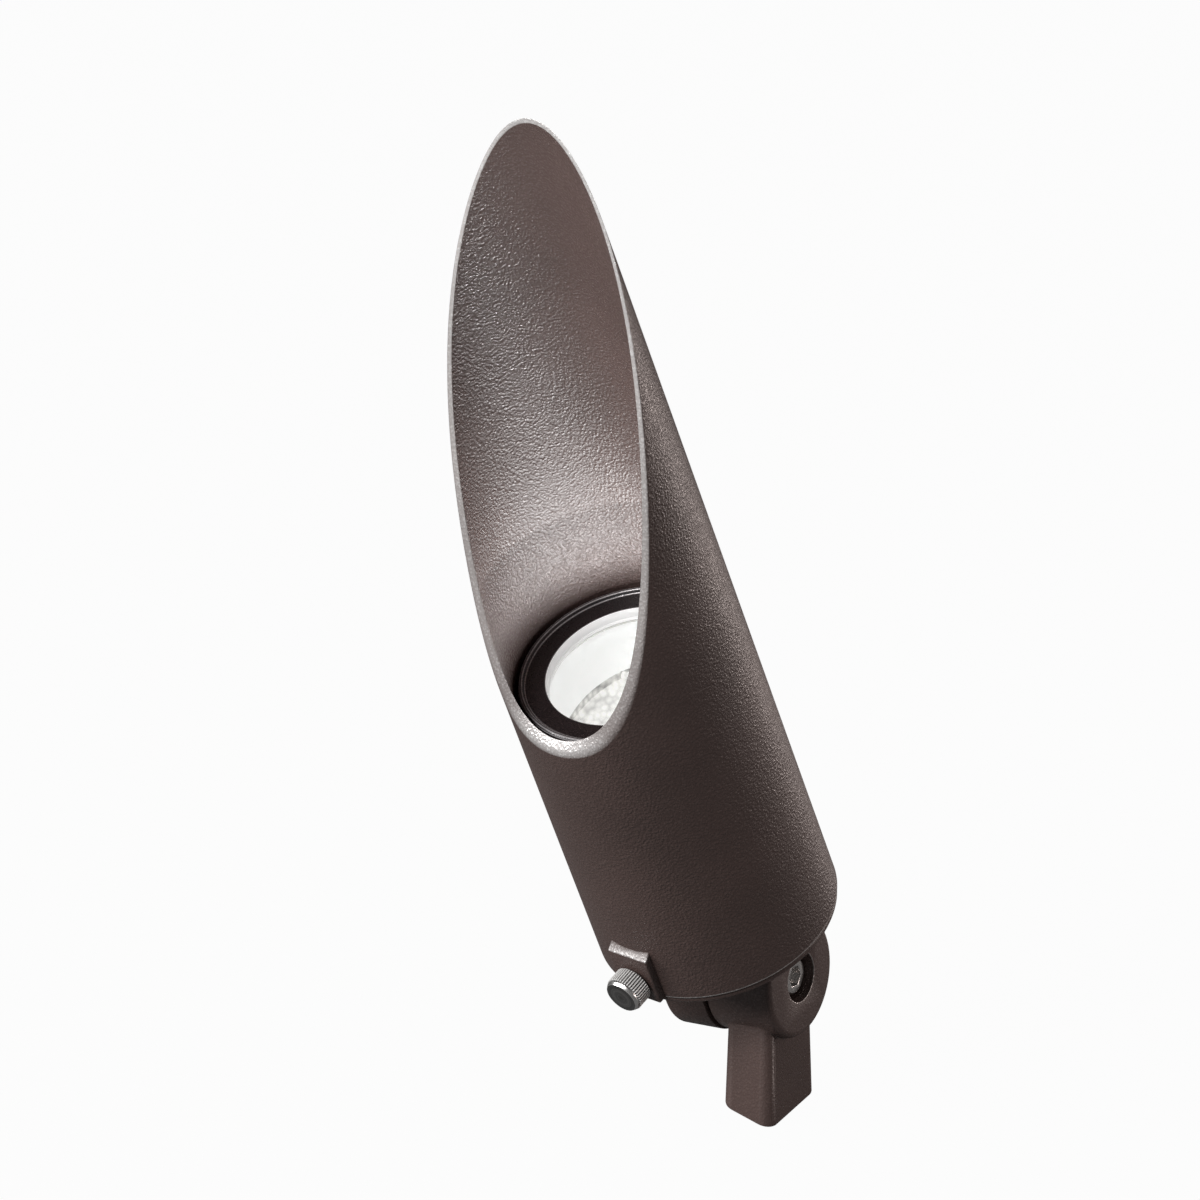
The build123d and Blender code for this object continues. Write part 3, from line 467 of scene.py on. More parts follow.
def turned_metal(name, group, base, place, smooth, rough, scale, contrast):
    """Returns a metal material with the fine rings of a lathe about an axis."""
    material, tree, shader = new_material(name)
    rings = place_node(tree, "ShaderNodeGroup", node_tree=group)
    feed(tree, rings, {"Vector": round_coordinates(tree, place), "Scale": scale, "Depth": turning_depth})
    mask = rings.outputs["Mask"]
    # darker streaks between the lathe's rings; a high contrast also paints streaks of sheen
    darker = [(1 - contrast) * c for c in base]
    tone = blend(tree, map_range(tree, mask, start=0.3, end=0.7), darker, base)
    gloss = map_range(tree, mask, start=0.3, end=0.7, low=rough, high=smooth)
    normal = rings.outputs["Normal"]
    feed(tree, shader, {"Base Color": tone, "Roughness": gloss, "Normal": normal, "Metallic": 1.0})
    return material


def knurled_metal(name, base, groove_shade):
    """Returns the knurl's bright metal, with painted shade that darkens the bottom of its grooves."""
    form = bpy.context.scene.spotlight_form
    material, tree, shader = new_material(name)
    split = place_node(tree, "ShaderNodeSeparateXYZ", {"Vector": round_coordinates(tree, screw_space)})
    valley = form.knob_radius - form.knurl_depth
    height = map_range(tree, split.outputs["X"], start=valley, end=form.knob_radius)
    # painted shade at the bottom of the grooves
    tone = blend(tree, height, [groove_shade * c for c in base], base)
    gloss = map_range(tree, height, low=0.65, high=0.5)
    feed(tree, shader, {"Base Color": tone, "Roughness": gloss, "Metallic": 0.35})
    return material


def mottled(name, base, variation, scale, smooth, rough, metallic):
    """Returns a plain moulded or stamped material whose tone and gloss drift a little."""
    material, tree, shader = new_material(name)
    drift = noise(tree, own_place(tree), scale, detail=4.0, roughness=0.6)
    tone = blend(tree, drift, [(1 - variation) * c for c in base], base)
    gloss = map_range(tree, drift, start=0.3, end=0.7, low=rough, high=smooth)
    normal = bumps(tree, drift, mottle_depth, strength=0.5)
    feed(tree, shader, {"Base Color": tone, "Roughness": gloss, "Normal": normal, "Metallic": metallic})
    return material


def glowing(name, base, strength, speckle):
    """Returns a pale material that glows by its own emission, with a fine speckle."""
    material, tree, shader = new_material(name)
    inputs = {"Vector": own_place(tree), "Scale": speckle_scale}
    cells = place_node(tree, "ShaderNodeTexVoronoi", inputs, feature="F1")
    tone = blend(tree, cells.outputs["Distance"], base, [(1 - speckle) * c for c in base])
    feed(tree, shader, {"Base Color": tone, "Roughness": 0.45})
    # the optic's emission is the lamp's own light; on the other pieces it is painted glow
    feed(tree, shader, {"Emission Color": tone, "Emission Strength": strength})
    return material


def clear_glass(base):
    """Returns the lens's clear glass, with a trace of unevenness."""
    material, tree, shader = new_material("Lens glass")
    waves = noise(tree, own_place(tree), scale=90.0, detail=2.0)
    feed(tree, shader, {"Normal": bumps(tree, waves, glass_waves, strength=0.3), "Base Color": (*base, 1)})
    feed(tree, shader, {"Roughness": 0.03, "IOR": 1.5, "Transmission Weight": 1.0})
    return material


finishes = {}


def make_finishes():
    """Builds every material once, by the names that the pieces ask for."""
    finish = bpy.context.scene.spotlight_finish
    grain = grain_group()
    turning = turned_group()
    scale = 1 / finish.grain
    depth = finish.grain_depth
    steel = finish.steel
    # painted shade: the knob face's steel is darkened
    shaded_steel = [finish.face_shade * c for c in steel]
    # A coat's look: colour, flecks, smooth and rough values, once plain and once with painted highlight, and
    # how metallic the painted highlight is
    bronze = (
        (finish.coat, finish.coat_fleck, 0.34, 0.54),
        (finish.worn, finish.highlight_fleck, 0.18, 0.34),
        0.55,
    )
    black = (
        (finish.black, finish.black_fleck, 0.24, 0.38),
        (finish.ring_highlight, finish.ring_highlight, 0.2, 0.3),
        0.3,
    )
    # Coats: key, name, grains in a metre, grain's height, look
    for key, name, grains, height, look in (
        ("coat", "Bronze powder coat", scale, depth, bronze),
        ("fine_coat", "Fine bronze powder coat", scale, finish.fine_grain * depth, bronze),
        ("black", "Satin black ring", finish.ring_fineness * scale, finish.ring_grain * depth, black),
    ):
        finishes[key] = coat_with_painted_highlight(name, grain, grains, height, *look)
    # Turned metal: key, name, colour, axis, smooth and rough values, scale and contrast of the rings; the
    # high contrast on the knob face and the bolt paints streaks of sheen as well as turning marks
    for key, *look in (
        ("knob", "Knurled steel", steel, screw_space, 0.20, 0.34, 4500.0, 0.28),
        ("knob_face", "Turned knob face", shaded_steel, screw_space, 0.28, 0.42, 1500.0, 0.9),
        ("bolt", "Zinc plated screw", steel, pivot_space, 0.10, 0.40, 4500.0, 0.4),
    ):
        finishes[key] = turned_metal(look[0], turning, *look[1:])
    finishes["knurl"] = knurled_metal("Steel knurl", steel, finish.groove_shade)
    # Stamped and moulded: key, name, colour, mottle's variation and scale, smooth and rough values, metal
    for key, *look in (
        ("steel", "Stamped steel", steel, 0.15, 300, 0.25, 0.38, 1.0),
        ("brass", "Machined brass", finish.brass, 0.15, 400, 0.22, 0.36, 1.0),
        ("nylon", "Natural nylon", finish.nylon, 0.08, 200, 0.38, 0.5, 0.0),
        ("rubber", "Black rubber", finish.rubber, 0.25, 500, 0.55, 0.7, 0.0),
        ("board", "Circuit board", finish.board, 0.06, 300, 0.35, 0.5, 0.0),
        ("ceramic", "Socket ceramic", finish.ceramic, 0.07, 250, 0.4, 0.6, 0.0),
        ("black_lead", "Black insulation", finish.black_lead, 0.2, 300, 0.35, 0.5, 0.0),
        ("white_lead", "White insulation", finish.white_lead, 0.06, 300, 0.35, 0.5, 0.0),
    ):
        finishes[key] = mottled(*look)
    # Glowing pieces: key, name, colour, share of the glow, contrast of the speckle; the optic glows with the
    # lamp's own light, the others with painted glow, and the optic's speckle paints light and shade on its
    # domes
    for key, name, base, share, speckle in (
        ("lamp", "White coated lamp metal", finish.lamp, 0.5, 0.75),
        ("sleeve", "White silicone sleeve", finish.sleeve, 0.62, 0.05),
        ("optic", "Lamp optic", finish.optic, 1.0, 0.5),
        ("lip", "Pale lip of the opening", finish.sleeve, 0.55, 0.10),
    ):
        finishes[key] = glowing(name, base, share * finish.lamp_and_painted_glow, speckle)
    finishes["glass"] = clear_glass(finish.glass)


def smooth_faces(mesh, crease):
    """Makes a mesh smooth, with creases at its sharp edges."""
    mesh.polygons.foreach_set("use_smooth", [True] * len(mesh.polygons))
    mesh.set_sharp_from_angle(angle=crease)


def add_piece(name, bm, materials, body, replaced, crease=crease_angle):
    """Makes a bmesh into a piece that rides on a body and stands for its CAD nodes."""
    mesh = bpy.data.meshes.new(name)
    bm.to_mesh(mesh)
    bm.free()
    for material in materials:
        mesh.materials.append(material)
    smooth_faces(mesh, crease)
    piece = bpy.data.objects.new(name, mesh)
    bpy.context.scene.collection.objects.link(piece)
    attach(piece, body)
    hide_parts(*replaced)
    return piece


def dress(nodes, finish):
    """Gives CAD nodes a finish in place of their plain colours."""
    for name in nodes:
        mesh = frame["nodes"][name].data
        mesh.materials.clear()
        mesh.materials.append(finishes[finish])


def set_painted_highlight(bm, verts, painted_highlight):
    """Writes how strongly highlight is painted at some vertices."""
    layer = bm.verts.layers.float.get("painted_highlight") or bm.verts.layers.float.new("painted_highlight")
    for v in verts:
        v[layer] = painted_highlight


def round_edges(bm, edges, width, segments):
    """Rounds edges, and returns what the rounding made."""
    return bmesh.ops.bevel(
        bm,
        geom=edges,
        offset=width,
        offset_type="OFFSET",
        segments=segments,
        profile=0.5,
        affect="EDGES",
        clamp_overlap=False,
        material=-1,
    )


def softened(node, width, painted_highlight=0.0, highlighted_at=lambda place: True):
    """Returns a bmesh copy of a CAD node with its sharp edges rounded, with painted highlight on the
    roundings at chosen places.
    """
    bm = bmesh.new()
    bm.from_mesh(frame["nodes"][node].data)
    bmesh.ops.remove_doubles(bm, verts=bm.verts, dist=weld_distance)
    bmesh.ops.dissolve_limit(bm, angle_limit=flat_angle, verts=bm.verts, edges=bm.edges)
    set_painted_highlight(bm, bm.verts, 0.0)
    sharp = [e for e in bm.edges if len(e.link_faces) == 2 and e.calc_face_angle() > sharp_angle]
    made = round_edges(bm, sharp, width, segments=2)
    rounded = set(made["faces"])
    # the middle vertices of each rounding carry the painted highlight
    ridges = [v for v in made["verts"] if all(face in rounded for face in v.link_faces)]
    set_painted_highlight(bm, [v for v in ridges if highlighted_at(v.co)], painted_highlight)
    return bm


def lathe(bm, rings, count):
    """Draws a wall ring by ring, each ring giving radius and height at an angle, and returns its loops.

    Dicts keep the edges in order, where sets would not, so that faces split the same way each run.
    """
    first = bmesh.ops.create_circle(bm, segments=count, radius=1.0)["verts"]
    edges = list(dict.fromkeys(e for v in first for e in v.link_edges))
    angles = {v: 2 * pi * i / count for i, v in enumerate(first)}
    loops = []
    for ring in rings:
        if loops:
            made = bmesh.ops.extrude_edge_only(bm, edges=edges)["geom"]
            fresh = dict.fromkeys(g for g in made if isinstance(g, bmesh.types.BMVert))
            joined = [(v, e.other_vert(v)) for v in fresh for e in v.link_edges]
            angles = {v: angles[other] for v, other in joined if other in angles}
            edges = list(dict.fromkeys(e for v in fresh for e in v.link_edges if e.other_vert(v) in fresh))
        for v, angle in angles.items():
            radius, height = ring(angle)
            v.co = (radius * cos(angle), radius * sin(angle), height)
        loops.append(edges)
    return loops


def level(radius, height):
    """Returns a plain ring of one radius at one height."""
    return lambda angle: (radius, height)


def thread_ring(root, depth, pitch, height):
    """Returns a ring of a thread, whose ridge climbs by one pitch in a turn."""
    turns = height / pitch
    return lambda angle: (root + depth * (1 - abs(2 * ((turns - angle / (2 * pi)) % 1) - 1)), height)


def fill_ends(bm, loops):
    """Closes both ends of a wall with flat faces."""
    bmesh.ops.edgeloop_fill(bm, edges=loops[0])
    bmesh.ops.edgeloop_fill(bm, edges=loops[-1])


def settle(bm, space):
    """Turns a shape's faces outwards and carries it to its place in the part."""
    bmesh.ops.recalc_face_normals(bm, faces=bm.faces)
    bm.transform(space)


def cut_height(form, back):
    """Returns the height of the shroud's cut at a distance behind the head axis."""
    half = form.shroud_radius / 2
    heights = (
        form.cut_low,
        form.cut_low + half * form.front_slope,
        form.cut_low + form.cut_belly,
        form.cut_tip - half * form.back_slope,
        form.cut_tip,
    )
    t = (back + form.shroud_radius) / (2 * form.shroud_radius)
    return sum(comb(4, i) * (1 - t) ** (4 - i) * t**i * height for i, height in enumerate(heights))


def bore_at(form, height):
    """Returns the shroud's inside radius above the lens, which opens towards the tip."""
    share = (height - form.bore_open) / (form.cut_tip + form.cut_over - form.bore_open)
    return form.hood_bore + max(0.0, share) * (form.tip_bore - form.hood_bore)


def rim_corners(form, angle):
    """Returns where the cut meets the outside and the bore at an angle, as radius and height."""
    outer = Vector((form.shroud_radius, cut_height(form, sin(angle) * form.shroud_radius)))
    inner = outer.copy()
    for _ in range(4):  # each round brings the bore's width and the cut's height closer together
        inner.x = bore_at(form, inner.y)
        inner.y = cut_height(form, sin(angle) * inner.x)
    return outer, inner


def outer_edge(form, t):
    """Returns a ring of the rim's outer rounding, t running from the outer wall to the rim."""

    def ring(angle):
        outer, inner = rim_corners(form, angle)
        reach = form.outer_round * (inner - outer)
        below = outer - Vector((0, reach.length))
        return (1 - t) ** 2 * below + 2 * t * (1 - t) * outer + t * t * (outer + reach)

    return ring


def inner_edge(form, t):
    """Returns a ring of the rim's inner rounding, t running from the rim to the bore."""

    def ring(angle):
        outer, inner = rim_corners(form, angle)
        reach = form.inner_round * (outer - inner)
        low = inner.y - reach.length
        below = Vector((bore_at(form, low), low))
        return (1 - t) ** 2 * (inner + reach) + 2 * t * (1 - t) * inner + t * t * below

    return ring


def wall_ring(rim, low, share, radius_at):
    """Returns a ring of the wall, at a share of the way from a level up to the rim."""

    def ring(angle):
        height = low + share * (rim(angle)[1] - low)
        return radius_at(height), height

    return ring


def rim_highlight(form, height):
    """Returns how strongly highlight is painted on the rim: fully at its lowest point, least beside it, more
    towards the tip.
    """
    rise = max(0.0, height - form.cut_low)
    lowest = max(0.0, 1 - rise / form.highlight_fade)
    climb = min(1.0, rise / (form.cut_tip - form.cut_low))
    side = form.side_highlight + climb * (form.tip_highlight - form.side_highlight)
    return side + lowest * (1 - side)


def join_solid(piece, bm, operation):
    """Adds a solid to a piece, or cuts it out of it."""
    mesh = bpy.data.meshes.new("tool")
    bm.to_mesh(mesh)
    bm.free()
    tool = bpy.data.objects.new("tool", mesh)
    bpy.context.scene.collection.objects.link(tool)
    step = piece.modifiers.new("join", "BOOLEAN")
    step.object = tool
    step.operation = operation
    step.solver = "EXACT"
    graph = bpy.context.evaluated_depsgraph_get()
    joined = bpy.data.meshes.new_from_object(piece.evaluated_get(graph))
    piece.modifiers.clear()
    piece.data = joined
    bpy.data.objects.remove(tool)


class SPOTLIGHT_OT_shroud(bpy.types.Operator):
    """Models the slant-cut shroud with its rounded rim and screw pad"""

    bl_idname = "spotlight.shroud"
    bl_label = "Shroud"

    def execute(self, context):
        form = context.scene.spotlight_form
        bm = self.tube(form)
        settle(bm, head_space)
        piece = add_piece("slant_cut_shroud", bm, [finishes["coat"]], "shroud", ["shroud"])
        join_solid(piece, self.pad(form), "UNION")
        join_solid(piece, self.hole(form), "DIFFERENCE")
        smooth_faces(piece.data, crease_angle)
        self.paint_pad_highlight(form, piece.data)
        return {"FINISHED"}

    def tube(self, form):
        """Returns the tube with its cut, drawn from the foot up the outside and down the inside."""
        radius = form.shroud_radius
        low = form.shroud_foot
        soft = form.foot_round
        hood = form.hood_foot + form.hood_taper
        shares = [i / form.rows for i in range(1, form.rows)]
        rounding = [i / rim_steps for i in range(rim_steps + 1)]
        foot = [
            level(form.shroud_bore, low),
            level(radius - soft, low),
            level(radius - round_middle * soft, low + round_middle * soft),
            level(radius, low + soft),
            level(radius, low + unhighlighted_ring * soft),
        ]
        wall_top = outer_edge(form, 0)
        outside = [wall_ring(wall_top, low + soft, share, lambda height: radius) for share in shares]
        rim = [outer_edge(form, t) for t in rounding] + [inner_edge(form, t) for t in rounding]
        bore_top = inner_edge(form, 1)
        bore = [
            wall_ring(bore_top, hood, 1 - share, lambda height: bore_at(form, height)) for share in shares
        ]
        shoulder = [level(form.hood_bore, hood), level(form.shroud_bore, form.hood_foot)]
        bm = bmesh.new()
        loops = lathe(bm, [*foot, *outside, *rim, *bore, *shoulder], form.columns)
        bmesh.ops.bridge_loops(bm, edges=loops[-1] + loops[0])
        set_painted_highlight(bm, bm.verts, 0.0)
        rim_start = len(foot) + len(outside)
        # painted highlight on the rim, strongest on its flat and fading down both roundings
        for loop, t in zip(loops[rim_start:], [*rounding, *reversed(rounding)]):
            for v in {v for e in loop for v in e.verts}:
                set_painted_highlight(bm, [v], sqrt(t) * rim_highlight(form, v.co.z))
        for loop in loops[1:4]:  # painted highlight along the foot's rounding
            set_painted_highlight(bm, [v for e in loop for v in e.verts], form.foot_highlight)
        return bm

    def paint_pad_highlight(self, form, mesh):
        """Paints highlight along the pad's top."""
        to_head = head_space.inverted()
        painted_highlight = mesh.attributes["painted_highlight"].data
        front = form.shroud_radius + test_room * form.pad_stand
        top = form.shroud_foot + form.pad_height - test_room * form.pad_round
        for v in mesh.vertices:
            place = to_head @ v.co
            if -place.y > front and abs(place.x) < form.pad_width and place.z > top:
                painted_highlight[v.index].value = form.pad_highlight

    def pad(self, form):
        """Returns the block of the thumbscrew's pad."""
        face_back = -form.shroud_radius - form.pad_stand
        top = form.shroud_foot + form.pad_height
        profile = [
            (-form.pad_root, form.shroud_foot),
            (face_back, form.shroud_foot),
            (face_back, top),
            (-form.pad_root, top + form.pad_slope * (-form.pad_root - face_back)),
        ]
        bm = bmesh.new()
        corners = [bm.verts.new((-form.pad_width / 2, back, height)) for back, height in profile]
        side = bm.faces.new(corners)
        made = bmesh.ops.extrude_face_region(bm, geom=[side])["geom"]
        moved = [g for g in made if isinstance(g, bmesh.types.BMVert)]
        bmesh.ops.translate(bm, verts=moved, vec=(form.pad_width, 0, 0))
        round_edges(bm, list(bm.edges), form.pad_round, segments=3)
        settle(bm, head_space)
        return bm

    def hole(self, form):
        """Returns the cylinder of the thumbscrew's hole."""
        bm = bmesh.new()
        ends = [level(form.lock_hole, form.lock_end), level(form.lock_hole, form.knob_base)]
        fill_ends(bm, lathe(bm, ends, hole_sides))
        settle(bm, screw_space)
        return bm


class SPOTLIGHT_OT_thumbscrew(bpy.types.Operator):
    """Models the thumbscrew with its thread, straight knurl and polished bevel"""

    bl_idname = "spotlight.thumbscrew"
    bl_label = "Thumbscrew"

    def execute(self, context):
        form = context.scene.spotlight_form
        count = knurl_faces * form.knurl_count
        ridge = form.knob_radius
        valley = ridge - form.knurl_depth
        root = form.lock_shank - form.lock_root
        lead = form.knurl_depth
        threaded = form.knob_base - form.lock_pitch - form.lock_end
        steps_up = round(threaded / form.lock_pitch * thread_steps)
        knurl_top = form.knob_base + form.knurl_length

        def knurl(height):
            def ring(angle):
                step = round(angle * count / (2 * pi)) % knurl_faces
                return (ridge if step in (1, 2) else valley), height

            return ring

        heights = [form.lock_end + threaded * i / steps_up for i in range(1, steps_up)]
        rings = [
            level(root, form.lock_end),
            *(thread_ring(root, form.lock_root, form.lock_pitch, height) for height in heights),
            level(root, form.knob_base - form.lock_pitch),
            level(root, form.knob_base),
            level(form.knob_neck, form.knob_base),
            level(valley, form.knob_base + lead),
            knurl(form.knob_base + 2 * lead),
            knurl(knurl_top - 2 * lead),
            level(valley, knurl_top - lead),
            level(valley, knurl_top),
            level(valley - form.bevel_reach, knurl_top + form.knob_bevel),
        ]
        bm = bmesh.new()
        loops = lathe(bm, rings, count)
        fill_ends(bm, loops)
        face_height = max(v.co.z for v in bm.verts)
        for face in bm.faces:
            heights = [v.co.z for v in face.verts]
            if min(heights) > face_height - same_height:
                face.material_index = 1
            elif min(heights) > form.knob_base and max(heights) < knurl_top - lead / 2:
                face.material_index = 2
        round_edges(bm, loops[-1], form.turned_edge, segments=2)
        settle(bm, screw_space)
        materials = [finishes["knob"], finishes["knob_face"], finishes["knurl"]]
        add_piece("knurled_thumbscrew", bm, materials, "lock_screw", ["lock_screw"], knob_crease)
        return {"FINISHED"}


class SPOTLIGHT_OT_castings(bpy.types.Operator):
    """Rounds the edges of the stem, end cap and housing and gives them the powder coat, with painted
    highlight round the counterbore's mouth
    """

    bl_idname = "spotlight.castings"
    bl_label = "Castings"

    def execute(self, context):
        form = context.scene.spotlight_form
        ear_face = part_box("stem")[1].x
        to_pivot = pivot_space.inverted()

        # edges within this radius of the ear's counterbore get painted highlight
        def at_screw_mouth(place):
            across, up, along = to_pivot @ place
            return along > ear_face - form.casting_edge and Vector((across, up)).length < form.screw_mouth

        for node, body, name in (
            ("stem", "stem", "cast_stem"),
            ("end_cap", "head", "cast_end_cap"),
            ("housing", "head", "lamp_housing"),
        ):
            bm = softened(node, form.casting_edge, form.mouth_highlight, at_screw_mouth)
            add_piece(name, bm, [finishes["fine_coat"]], body, [node])
        return {"FINISHED"}


class SPOTLIGHT_OT_lens(bpy.types.Operator):
    """Dresses the black lens ring, its glass and what shows behind it"""

    bl_idname = "spotlight.lens"
    bl_label = "Lens"

    def execute(self, context):
        form = context.scene.spotlight_form
        # every rounded edge of the ring gets painted highlight
        bm = softened("lens_ring", form.ring_round, painted_highlight=1.0)
        to_head = head_space.inverted()
        reach = form.lens_opening + test_room * form.ring_round
        # faces of the ring's bore get a pale material with painted glow
        for face in bm.faces:
            face.material_index = int(all((to_head @ v.co).xy.length < reach for v in face.verts))
        materials = [finishes["black"], finishes["lip"]]
        add_piece("black_lens_ring", bm, materials, "head", ["lens_ring"])
        dress(["lens"], "glass")
        # the gasket and cushion: white silicone with painted glow
        dress(["lens_gasket", "lamp_cushion"], "sleeve")
        dress(["lens_clip"], "steel")
        return {"FINISHED"}


class SPOTLIGHT_OT_lamp(bpy.types.Operator):
    """Dresses the lamp, its socket, bracket and leads, and the screws inside"""

    bl_idname = "spotlight.lamp"
    bl_label = "Lamp"

    def execute(self, context):
        # the lamp body's white coat gets painted glow
        dress(["lamp_body"], "lamp")
        dress(["lamp_board"], "board")
        dress(["lamp_optic"], "optic")
        dress(["lamp_pins"], "brass")
        dress(["lamp_socket"], "ceramic")
        dress(["socket_bracket", "socket_screws", "bracket_screws", "cap_screws"], "steel")
        dress(["left_lead"], "black_lead")
        dress(["right_lead"], "white_lead")
        return {"FINISHED"}


class SPOTLIGHT_OT_fittings(bpy.types.Operator):
    """Dresses the pivot screw, washers, seals, glide rings and the stem's threaded bush"""

    bl_idname = "spotlight.fittings"
    bl_label = "Fittings"

    def execute(self, context):
        form = context.scene.spotlight_form
        bm = softened("pivot_screw", form.turned_edge)
        add_piece("socket_head_screw", bm, [finishes["bolt"]], "pivot_screw", ["pivot_screw"])
        dress(["flat_washer", "spring_washer"], "steel")
        dress(["friction_washer", "lower_glide", "upper_glide", "lock_tip"], "nylon")
        dress(["cap_seal", "grommet"], "rubber")
        self.thread_bush(form)
        return {"FINISHED"}

    def thread_bush(self, form):
        """Models the brass bush with a real thread in its bore."""
        low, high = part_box("thread_bush")
        outside = (high.x - low.x) / 2
        inside = min(Vector((v.co.x, v.co.y)).length for v in frame["nodes"]["thread_bush"].data.vertices)
        tall = high.z - low.z
        steps_up = round(tall / form.thread_pitch * thread_steps)
        heights = [low.z + tall * i / steps_up for i in range(steps_up + 1)]
        thread = [thread_ring(inside, form.thread_depth, form.thread_pitch, height) for height in heights]
        bm = bmesh.new()
        loops = lathe(bm, [level(outside, low.z), *thread, level(outside, high.z)], bush_sides)
        bmesh.ops.bridge_loops(bm, edges=loops[0] + loops[-1])
        bmesh.ops.recalc_face_normals(bm, faces=bm.faces)
        add_piece("threaded_bush", bm, [finishes["brass"]], "stem", ["thread_bush"])


def area_light(name, place, aim, size, power, tint=(1, 1, 1)):
    """Adds a soft rectangular light."""
    light = bpy.data.lights.new(name, "AREA")
    light.color = tint
    light.shape = "RECTANGLE"
    light.size = size[0]
    light.size_y = size[1]
    light.energy = power
    lamp = bpy.data.objects.new(name, light)
    lamp.location = place
    lamp.rotation_euler = (Vector(aim) - Vector(place)).to_track_quat("-Z", "Y").to_euler()
    bpy.context.scene.collection.objects.link(lamp)
    return lamp


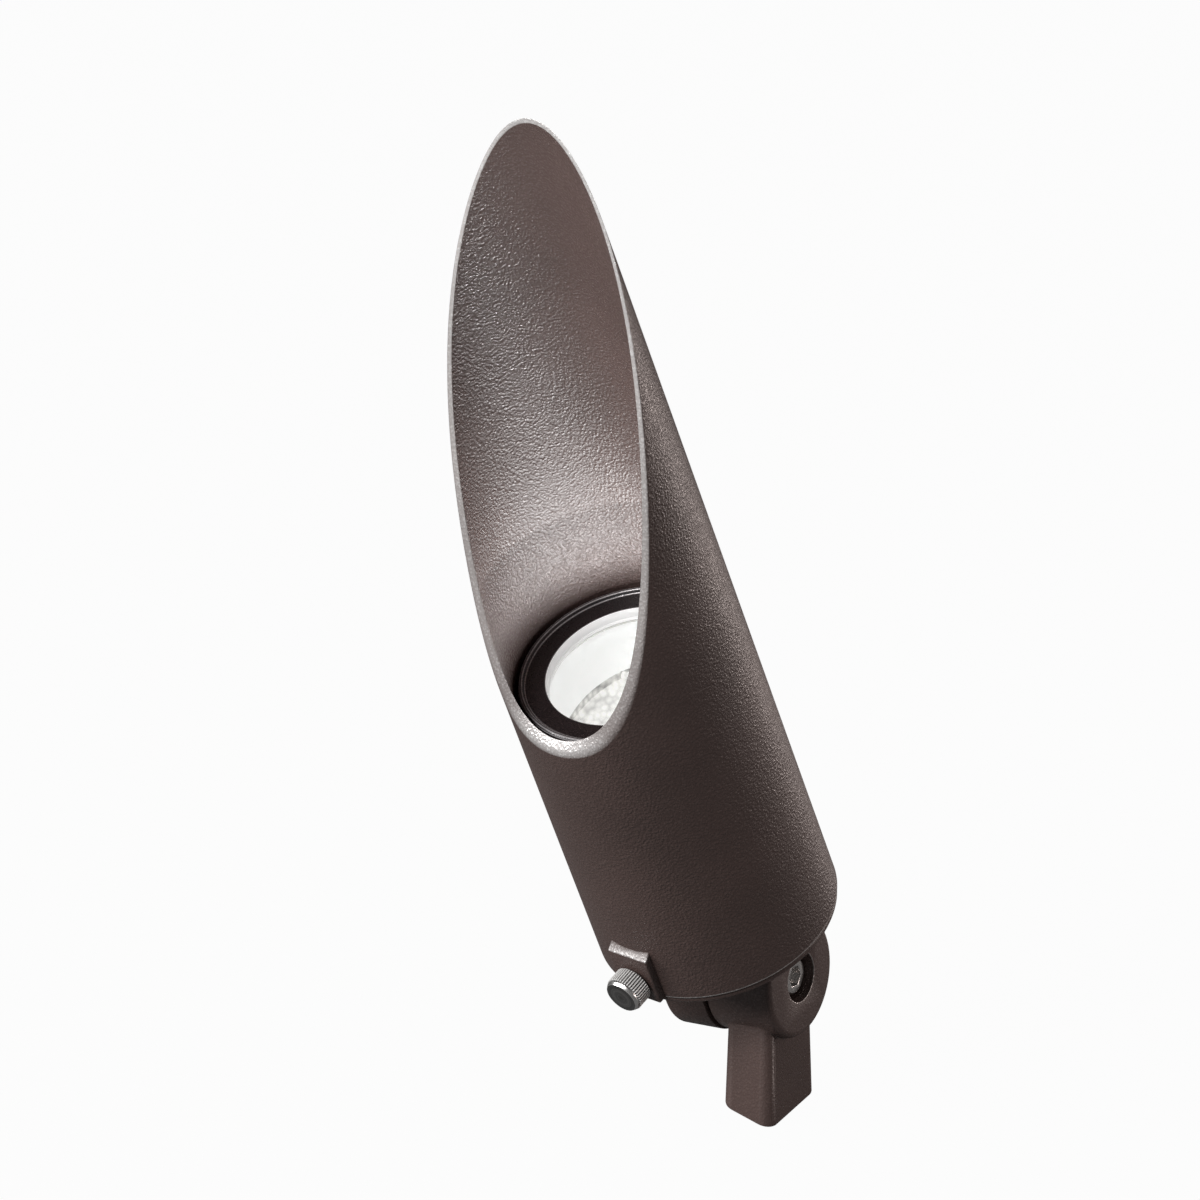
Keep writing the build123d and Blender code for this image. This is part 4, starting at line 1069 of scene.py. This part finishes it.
class SPOTLIGHT_OT_stage(bpy.types.Operator):
    """Sets up the floor, the soft light and the camera"""

    bl_idname = "spotlight.stage"
    bl_label = "Studio"

    def execute(self, context):
        studio = context.scene.spotlight_studio
        context.scene.view_settings.view_transform = "Standard"
        self.floor(studio)
        self.sky(context.scene, studio)
        self.soft_boxes(studio)
        self.lamp_light(context.scene.spotlight_form, studio)
        self.camera(context.scene, studio)
        return {"FINISHED"}

    def floor(self, studio):
        """Lays a wide pale floor under the part, which the camera sees as white with the part's shadow."""
        bm = bmesh.new()
        bmesh.ops.create_grid(bm, x_segments=1, y_segments=1, size=studio.floor_reach)
        bmesh.ops.translate(bm, verts=bm.verts, vec=(0, 0, cad_box[0].z))
        mesh = bpy.data.meshes.new("floor")
        bm.to_mesh(mesh)
        bm.free()
        material, tree, shader = new_material("Pale floor")
        feed(tree, shader, {"Base Color": (*studio.floor, 1), "Roughness": 0.9})
        output = next(n for n in tree.nodes if n.type == "OUTPUT_MATERIAL")
        rays = place_node(tree, "ShaderNodeLightPath").outputs
        seen = reckon(tree, "MAXIMUM", rays["Is Camera Ray"], rays["Is Transmission Ray"])
        plain = reckon(tree, "MULTIPLY", seen, studio.floor_white)
        gloss = reckon(tree, "MULTIPLY", rays["Is Glossy Ray"], studio.floor_gloss)
        share = reckon(tree, "MAXIMUM", plain, gloss)
        glow = place_node(tree, "ShaderNodeEmission", {"Color": (1, 1, 1, 1), "Strength": 1.0})
        shades = {0: share, 1: shader.outputs["BSDF"], 2: glow.outputs["Emission"]}
        mixed = place_node(tree, "ShaderNodeMixShader", shades)
        tree.links.new(mixed.outputs["Shader"], output.inputs["Surface"])
        mesh.materials.append(material)
        plane = bpy.data.objects.new("floor", mesh)
        bpy.context.scene.collection.objects.link(plane)

    def sky(self, scene, studio):
        """Gives even light all round, and white where the camera sees past the floor."""
        world = bpy.data.worlds.new("Studio")
        scene.world = world
        world.use_nodes = True
        tree = world.node_tree
        tree.nodes.clear()
        output = tree.nodes.new("ShaderNodeOutputWorld")
        rays = place_node(tree, "ShaderNodeLightPath").outputs
        gloss = map_range(tree, rays["Is Glossy Ray"], low=studio.sky, high=studio.backdrop_gloss)
        strength = map_range(tree, rays["Is Camera Ray"], low=gloss)
        light = place_node(tree, "ShaderNodeBackground", {"Color": (1, 1, 1, 1), "Strength": strength})
        tree.links.new(light.outputs["Background"], output.inputs["Surface"])

    def soft_boxes(self, studio):
        """Places the soft boxes round the part."""
        centre = (cad_box[0] + cad_box[1]) / 2
        area_light("key", studio.key_place, centre, studio.key_size, studio.key)
        area_light("front", studio.front_place, centre, studio.front_size, studio.front)
        area_light("edge", studio.edge_place, centre, studio.edge_size, studio.edge, studio.warm)
        area_light("back", studio.back_place, centre, studio.back_size, studio.back, studio.warm)

    def lamp_light(self, form, studio):
        """Adds the light that the lamp throws up the shroud, as discs that ride on the head."""
        for name, power, spread, width, shift in (
            ("glow", studio.glow, studio.glow_spread, studio.glow_width, form.glow_shift),
            ("beam", studio.beam, studio.beam_spread, studio.glow_width, form.glow_shift),
            ("core", studio.core, studio.core_spread, studio.core_width, 0),
        ):
            face = head_space @ Vector((-shift, shift, form.lamp_face))
            lamp = area_light(name, face, face + head_axis, (width, width), power)
            lamp.data.shape = "DISK"
            lamp.data.spread = spread
            lamp.visible_camera = False
            lamp.visible_transmission = False
            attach(lamp, "head")

    def camera(self, scene, studio):
        """Points the camera as the photograph does."""
        a = studio.azimuth
        e = studio.elevation
        back = Vector((sin(a) * cos(e), -cos(a) * cos(e), sin(e)))
        view = bpy.data.cameras.new("view")
        view.angle = studio.field
        camera = bpy.data.objects.new("view", view)
        camera.location = Vector(studio.aim) + back * studio.distance
        camera.rotation_euler = (-back).to_track_quat("-Z", "Y").to_euler()
        scene.collection.objects.link(camera)
        scene.camera = camera


class SPOTLIGHT_PT_panel(bpy.types.Panel):
    """Lists the steps that dress the spotlight"""

    bl_label = "Spotlight"
    bl_idname = "SPOTLIGHT_PT_panel"
    bl_space_type = "VIEW_3D"
    bl_region_type = "UI"
    bl_category = "Spotlight"

    def draw(self, context):
        for step in steps:
            self.layout.operator(step.bl_idname)


groups = (
    ("spotlight_form", SpotlightForm),
    ("spotlight_finish", SpotlightFinish),
    ("spotlight_studio", SpotlightStudio),
)
steps = (
    SPOTLIGHT_OT_shroud,
    SPOTLIGHT_OT_thumbscrew,
    SPOTLIGHT_OT_castings,
    SPOTLIGHT_OT_lens,
    SPOTLIGHT_OT_lamp,
    SPOTLIGHT_OT_fittings,
    SPOTLIGHT_OT_stage,
)


def register():
    """Registers the settings, the steps and the panel."""
    for name, group in groups:
        bpy.utils.register_class(group)
        setattr(bpy.types.Scene, name, PointerProperty(type=group))
    for step in (*steps, SPOTLIGHT_PT_panel):
        bpy.utils.register_class(step)


def unregister():
    """Removes what register added."""
    for step in (SPOTLIGHT_PT_panel, *reversed(steps)):
        bpy.utils.unregister_class(step)
    for name, group in reversed(groups):
        delattr(bpy.types.Scene, name)
        bpy.utils.unregister_class(group)


def main():
    register()
    make_finishes()
    bpy.ops.spotlight.shroud()
    bpy.ops.spotlight.thumbscrew()
    bpy.ops.spotlight.castings()
    bpy.ops.spotlight.lens()
    bpy.ops.spotlight.lamp()
    bpy.ops.spotlight.fittings()
    bpy.ops.spotlight.stage()


if __name__ == "__main__":
    main()
